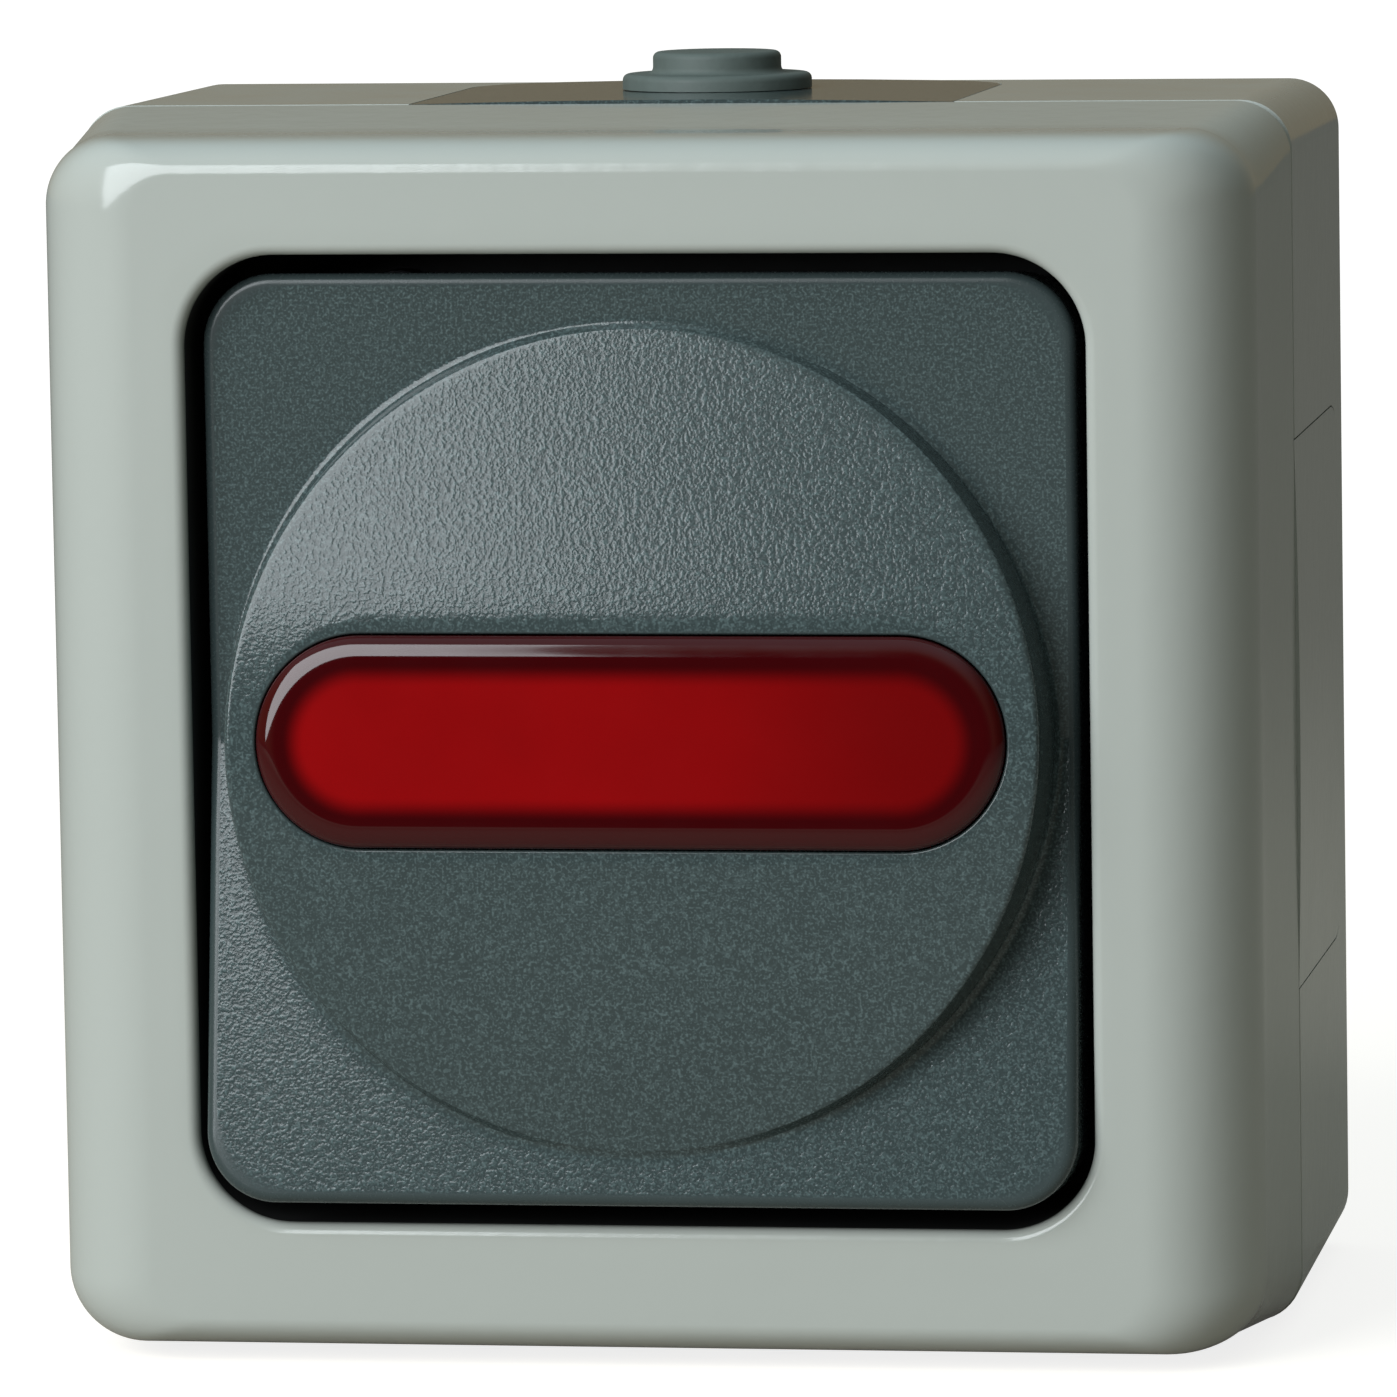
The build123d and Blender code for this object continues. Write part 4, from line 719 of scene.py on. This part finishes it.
class SWITCH_OT_finishes(bpy.types.Operator):
    """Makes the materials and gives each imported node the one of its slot"""

    bl_idname = "switch.finishes"
    bl_label = "Finishes"

    def execute(self, context):
        # Makes the materials and gives each imported node the one of its slot, except the frame screws, which
        # are painted near-black as shade
        c = context.scene.switch_colours
        finishes["housing_grey"] = moulded_plastic("housing_grey_plastic", c.housing, 0.13)
        finishes["dark_plastic"] = grained_plastic("dark_grained_plastic", c.rocker, 0.11)
        finishes["dark_rubber"] = rubber("grey_rubber", c.grommet)
        finishes["black_rubber"] = rubber("black_rubber", c.seal)
        finishes["red_lens"] = self.lens(context)
        finishes["white_thermoset"] = moulded_plastic("white_thermoset", c.insert, 0.45)
        finishes["grey_plastic"] = moulded_plastic("grey_plastic", c.cradle, 0.4)
        finishes["zinc_steel"] = rolled_metal("zinc_plated_steel", (0.62, 0.64, 0.66), 0.32)
        finishes["brass"] = rolled_metal("brass", (0.75, 0.56, 0.26), 0.28)
        finishes["copper_alloy"] = rolled_metal("copper_alloy", (0.78, 0.45, 0.28), 0.3)
        finishes["spring_steel"] = rolled_metal("spring_steel", (0.55, 0.55, 0.56), 0.25, (4, 4, 4))
        # Painted shade: the frame screws' heads are painted near-black, as the gap round the rocker lies in
        # deep shade.
        finishes["frame_screws"] = rolled_metal("zinc_steel_painted_shade", (0.03, 0.03, 0.032), 0.5)
        finishes["lamp_glass"] = clear_glass("lamp_glass", (0.95, 0.85, 0.75))
        finishes["resistor_body"] = moulded_plastic("resistor_lacquer", (0.5, 0.4, 0.26), 0.35)
        for part in frame["record"]["subparts"]:
            node = frame["nodes"][part["node"]]
            node.data.materials.clear()
            node.data.materials.append(finishes.get(part["node"], finishes[part["material_slot"]]))
        return {"FINISHED"}

    def lens(self, context):
        """Red clear plastic with painted light: a painted glow over the hollow of the cup, painted shade
        where it is seen through its rim, and painted shade towards the right."""
        c, s = context.scene.switch_colours, context.scene.switch_rocker
        paint = Paint("red_clear_plastic", ior=1.49)
        across, back, high = paint.axis("X"), paint.axis("Y"), paint.axis("Z")
        up = (high - HINGE_RISE) * np.cos(ROCKER_TILT) + (back + HINGE_DEPTH) * np.sin(ROCKER_TILT)
        reach_flat = s.lens_half_width - s.lens_half_height
        beyond = (abs(across) - reach_flat).at_least(0.0)
        from_line = (beyond * beyond + up * up).root()
        # Painted light: a painted glow over the cup's hollow, fading out to the painted shade of the rim.
        painted_glow = from_line.fade(s.lens_half_height - s.shade_end, s.lens_half_height - s.shade_start, 1, 0)
        cloud = paint.grain(0.007, 3)
        # Painted shade: the red darkens towards the right, away from the lamp.
        painted_shade_right = across.fade(-2 * MM, 20 * MM)
        middle = paint.blend(tone(c.lens, 0.85), tone(c.lens, 1.1), cloud)
        middle = paint.blend(middle, tone(c.lens, 0.5), painted_shade_right * 0.8)
        paint.set(base_color=paint.blend(c.lens_rim_shade[:], middle, painted_glow))
        paint.set(roughness=paint.grain(0.004).fade(0.3, 0.7, 0.05, 0.08))
        return paint.material


def add_lamp(name, place, target, size, power, colour):
    """A soft rectangular lamp that faces a point, rolled so that its right and left edges keep to one X."""
    data = bpy.data.lights.new(name, "AREA")
    data.shape, data.size, data.size_y = "RECTANGLE", *size
    data.energy, data.color = power, colour
    back = (Vector(place) - Vector(target)).normalized()
    up = Vector((0, -back.z, back.y)).normalized()
    up = up if up.z > 0 else -up
    turned = Matrix((up.cross(back), up, back)).transposed().to_4x4()
    lamp = bpy.data.objects.new(name, data)
    lamp.matrix_world = Matrix.Translation(place) @ turned
    bpy.context.scene.collection.objects.link(lamp)
    return lamp


class SWITCH_OT_stage(bpy.types.Operator):
    """Makes the camera, a pale floor that keeps the shadow, the white surround and the soft lamp"""

    bl_idname = "switch.stage"
    bl_label = "Stage"

    def execute(self, context):
        s = context.scene.switch_stage
        scene = context.scene
        scene.view_settings.view_transform = "Standard"
        self.camera(scene, s)
        self.floor(s)
        self.surround(scene, s)
        add_lamp("softbox", s.lamp_place, s.lamp_target, s.lamp_size, s.lamp_power, s.lamp_colour)
        return {"FINISHED"}

    def camera(self, scene, s):
        """Camera axes from its turn and dip, then rolled: right, up and back are the matrix's columns."""
        turn, dip, roll = s.camera_turn, s.camera_dip, s.camera_roll
        fore = Vector((-np.sin(turn) * np.cos(dip), np.cos(turn) * np.cos(dip), -np.sin(dip)))
        level = Vector((np.cos(turn), np.sin(turn), 0))
        down = fore.cross(level)
        right = np.cos(roll) * level + np.sin(roll) * down
        down = -np.sin(roll) * level + np.cos(roll) * down
        data = bpy.data.cameras.new("camera")
        data.lens, data.sensor_width = s.lens, 36
        data.clip_start, data.clip_end = 0.01, 100
        camera = bpy.data.objects.new("camera", data)
        turned = Matrix((right, -down, -fore)).transposed().to_4x4()
        camera.matrix_world = Matrix.Translation(s.camera_place) @ turned
        scene.collection.objects.link(camera)
        scene.camera = camera

    def floor(self, s):
        """A wide level square just under the switch. The camera sees its own white light added to the
        lamps' light on it, so that only the shadow stays below white."""
        mesh = bpy.data.meshes.new("floor")
        half, height = 3.0, s.floor_height - 0.02 * MM
        mesh.from_pydata([(-half, -half, height), (half, -half, height), (half, half, height),
                          (-half, half, height)], [], [(0, 1, 2, 3)])
        floor = bpy.data.objects.new("floor", mesh)
        bpy.context.scene.collection.objects.link(floor)
        paint = Paint("pale_floor", specular_ior_level=0.0, roughness=1.0)
        sees = [paint.node("ShaderNodeLightPath", output=name)
                for name in ("Is Camera Ray", "Is Glossy Ray", "Is Transmission Ray")]
        across, back = paint.axis("X"), paint.axis("Y")
        far = (across * across + back * back).root().fade(0.08, 0.4)
        paint.set(base_color=paint.blend((0.4, 0.36, 0.3, 1), (0.18, 0.16, 0.13, 1), far))
        shade = paint.blend((0.82, 0.82, 0.82, 1), (1, 1, 1, 1), far)
        strength = sees[0] + sees[1] * 0.06 + sees[2]
        glow = paint.node("ShaderNodeEmission", {}, {"Color": shade, "Strength": strength})
        lit = Wire(paint, paint.shader.outputs[0])
        both = paint.node("ShaderNodeAddShader", {}, {0: lit, 1: glow})
        paint.join(both, paint.tree.nodes["Material Output"].inputs["Surface"])
        mesh.materials.append(paint.material)

    def surround(self, scene, s):
        """White where the camera sees past the floor, and otherwise a dim light that is brighter from above,
        dimmer from the right and darkest in front."""
        world = bpy.data.worlds.new("surround")
        world.use_nodes = True
        scene.world = world
        tree = world.node_tree
        place = tree.nodes.new("ShaderNodeTexCoord")
        split = tree.nodes.new("ShaderNodeSeparateXYZ")
        tree.links.new(place.outputs["Generated"], split.inputs[0])
        path = tree.nodes.new("ShaderNodeLightPath")
        above = self.mix(tree, self.step(tree, split.outputs["Z"], 0.25, 0.95))
        above.inputs[6].default_value = (*s.ambient, 1)
        above.inputs[7].default_value = (*s.overhead, 1)
        right = self.mix(tree, self.step(tree, split.outputs["X"], 0.3, 0.95))
        tree.links.new(above.outputs[2], right.inputs[6])
        right.inputs[7].default_value = (*(s.right_share * Vector(s.ambient)), 1)
        front = self.mix(tree, self.step(tree, split.outputs["Y"], -0.8, -1.0))
        tree.links.new(right.outputs[2], front.inputs[6])
        front.inputs[7].default_value = (0.04, 0.04, 0.04, 1)
        seen = self.mix(tree, path.outputs["Is Camera Ray"])
        tree.links.new(front.outputs[2], seen.inputs[6])
        seen.inputs[7].default_value = (1, 1, 1, 1)
        tree.links.new(seen.outputs[2], tree.nodes["Background"].inputs["Color"])

    def step(self, tree, value, low, high):
        node = tree.nodes.new("ShaderNodeMapRange")
        node.interpolation_type = "SMOOTHSTEP"
        node.inputs["From Min"].default_value, node.inputs["From Max"].default_value = low, high
        tree.links.new(value, node.inputs["Value"])
        return node.outputs[0]

    def mix(self, tree, factor):
        node = tree.nodes.new("ShaderNodeMix")
        node.data_type = "RGBA"
        tree.links.new(factor, node.inputs[0])
        return node


class SWITCH_PT_panel(bpy.types.Panel):
    """Lists the switch's pieces"""

    bl_idname = "SWITCH_PT_panel"
    bl_label = "Pilot light switch"
    bl_space_type = "VIEW_3D"
    bl_region_type = "UI"
    bl_category = "Switch"

    def draw(self, context):
        for operator in OPERATORS:
            self.layout.operator(operator.bl_idname)


GROUPS = {
    "switch_colours": SwitchColours,
    "switch_frame": FrameSizes,
    "switch_rocker": RockerSizes,
    "switch_grommet": GrommetSizes,
    "switch_stage": StageSettings,
}
OPERATORS = [
    SWITCH_OT_finishes,
    SWITCH_OT_front_frame,
    SWITCH_OT_rocker,
    SWITCH_OT_lens,
    SWITCH_OT_grommet,
    SWITCH_OT_stage,
]


def register():
    for cls in [*GROUPS.values(), *OPERATORS, SWITCH_PT_panel]:
        bpy.utils.register_class(cls)
    for name, group in GROUPS.items():
        setattr(bpy.types.Scene, name, bpy.props.PointerProperty(type=group))


def unregister():
    for name in GROUPS:
        delattr(bpy.types.Scene, name)
    for cls in reversed([*GROUPS.values(), *OPERATORS, SWITCH_PT_panel]):
        bpy.utils.unregister_class(cls)


def main():
    register()
    bpy.ops.switch.finishes()
    bpy.ops.switch.front_frame()
    bpy.ops.switch.rocker()
    bpy.ops.switch.lens()
    bpy.ops.switch.grommet()
    bpy.ops.switch.stage()


if __name__ == "__main__":
    main()
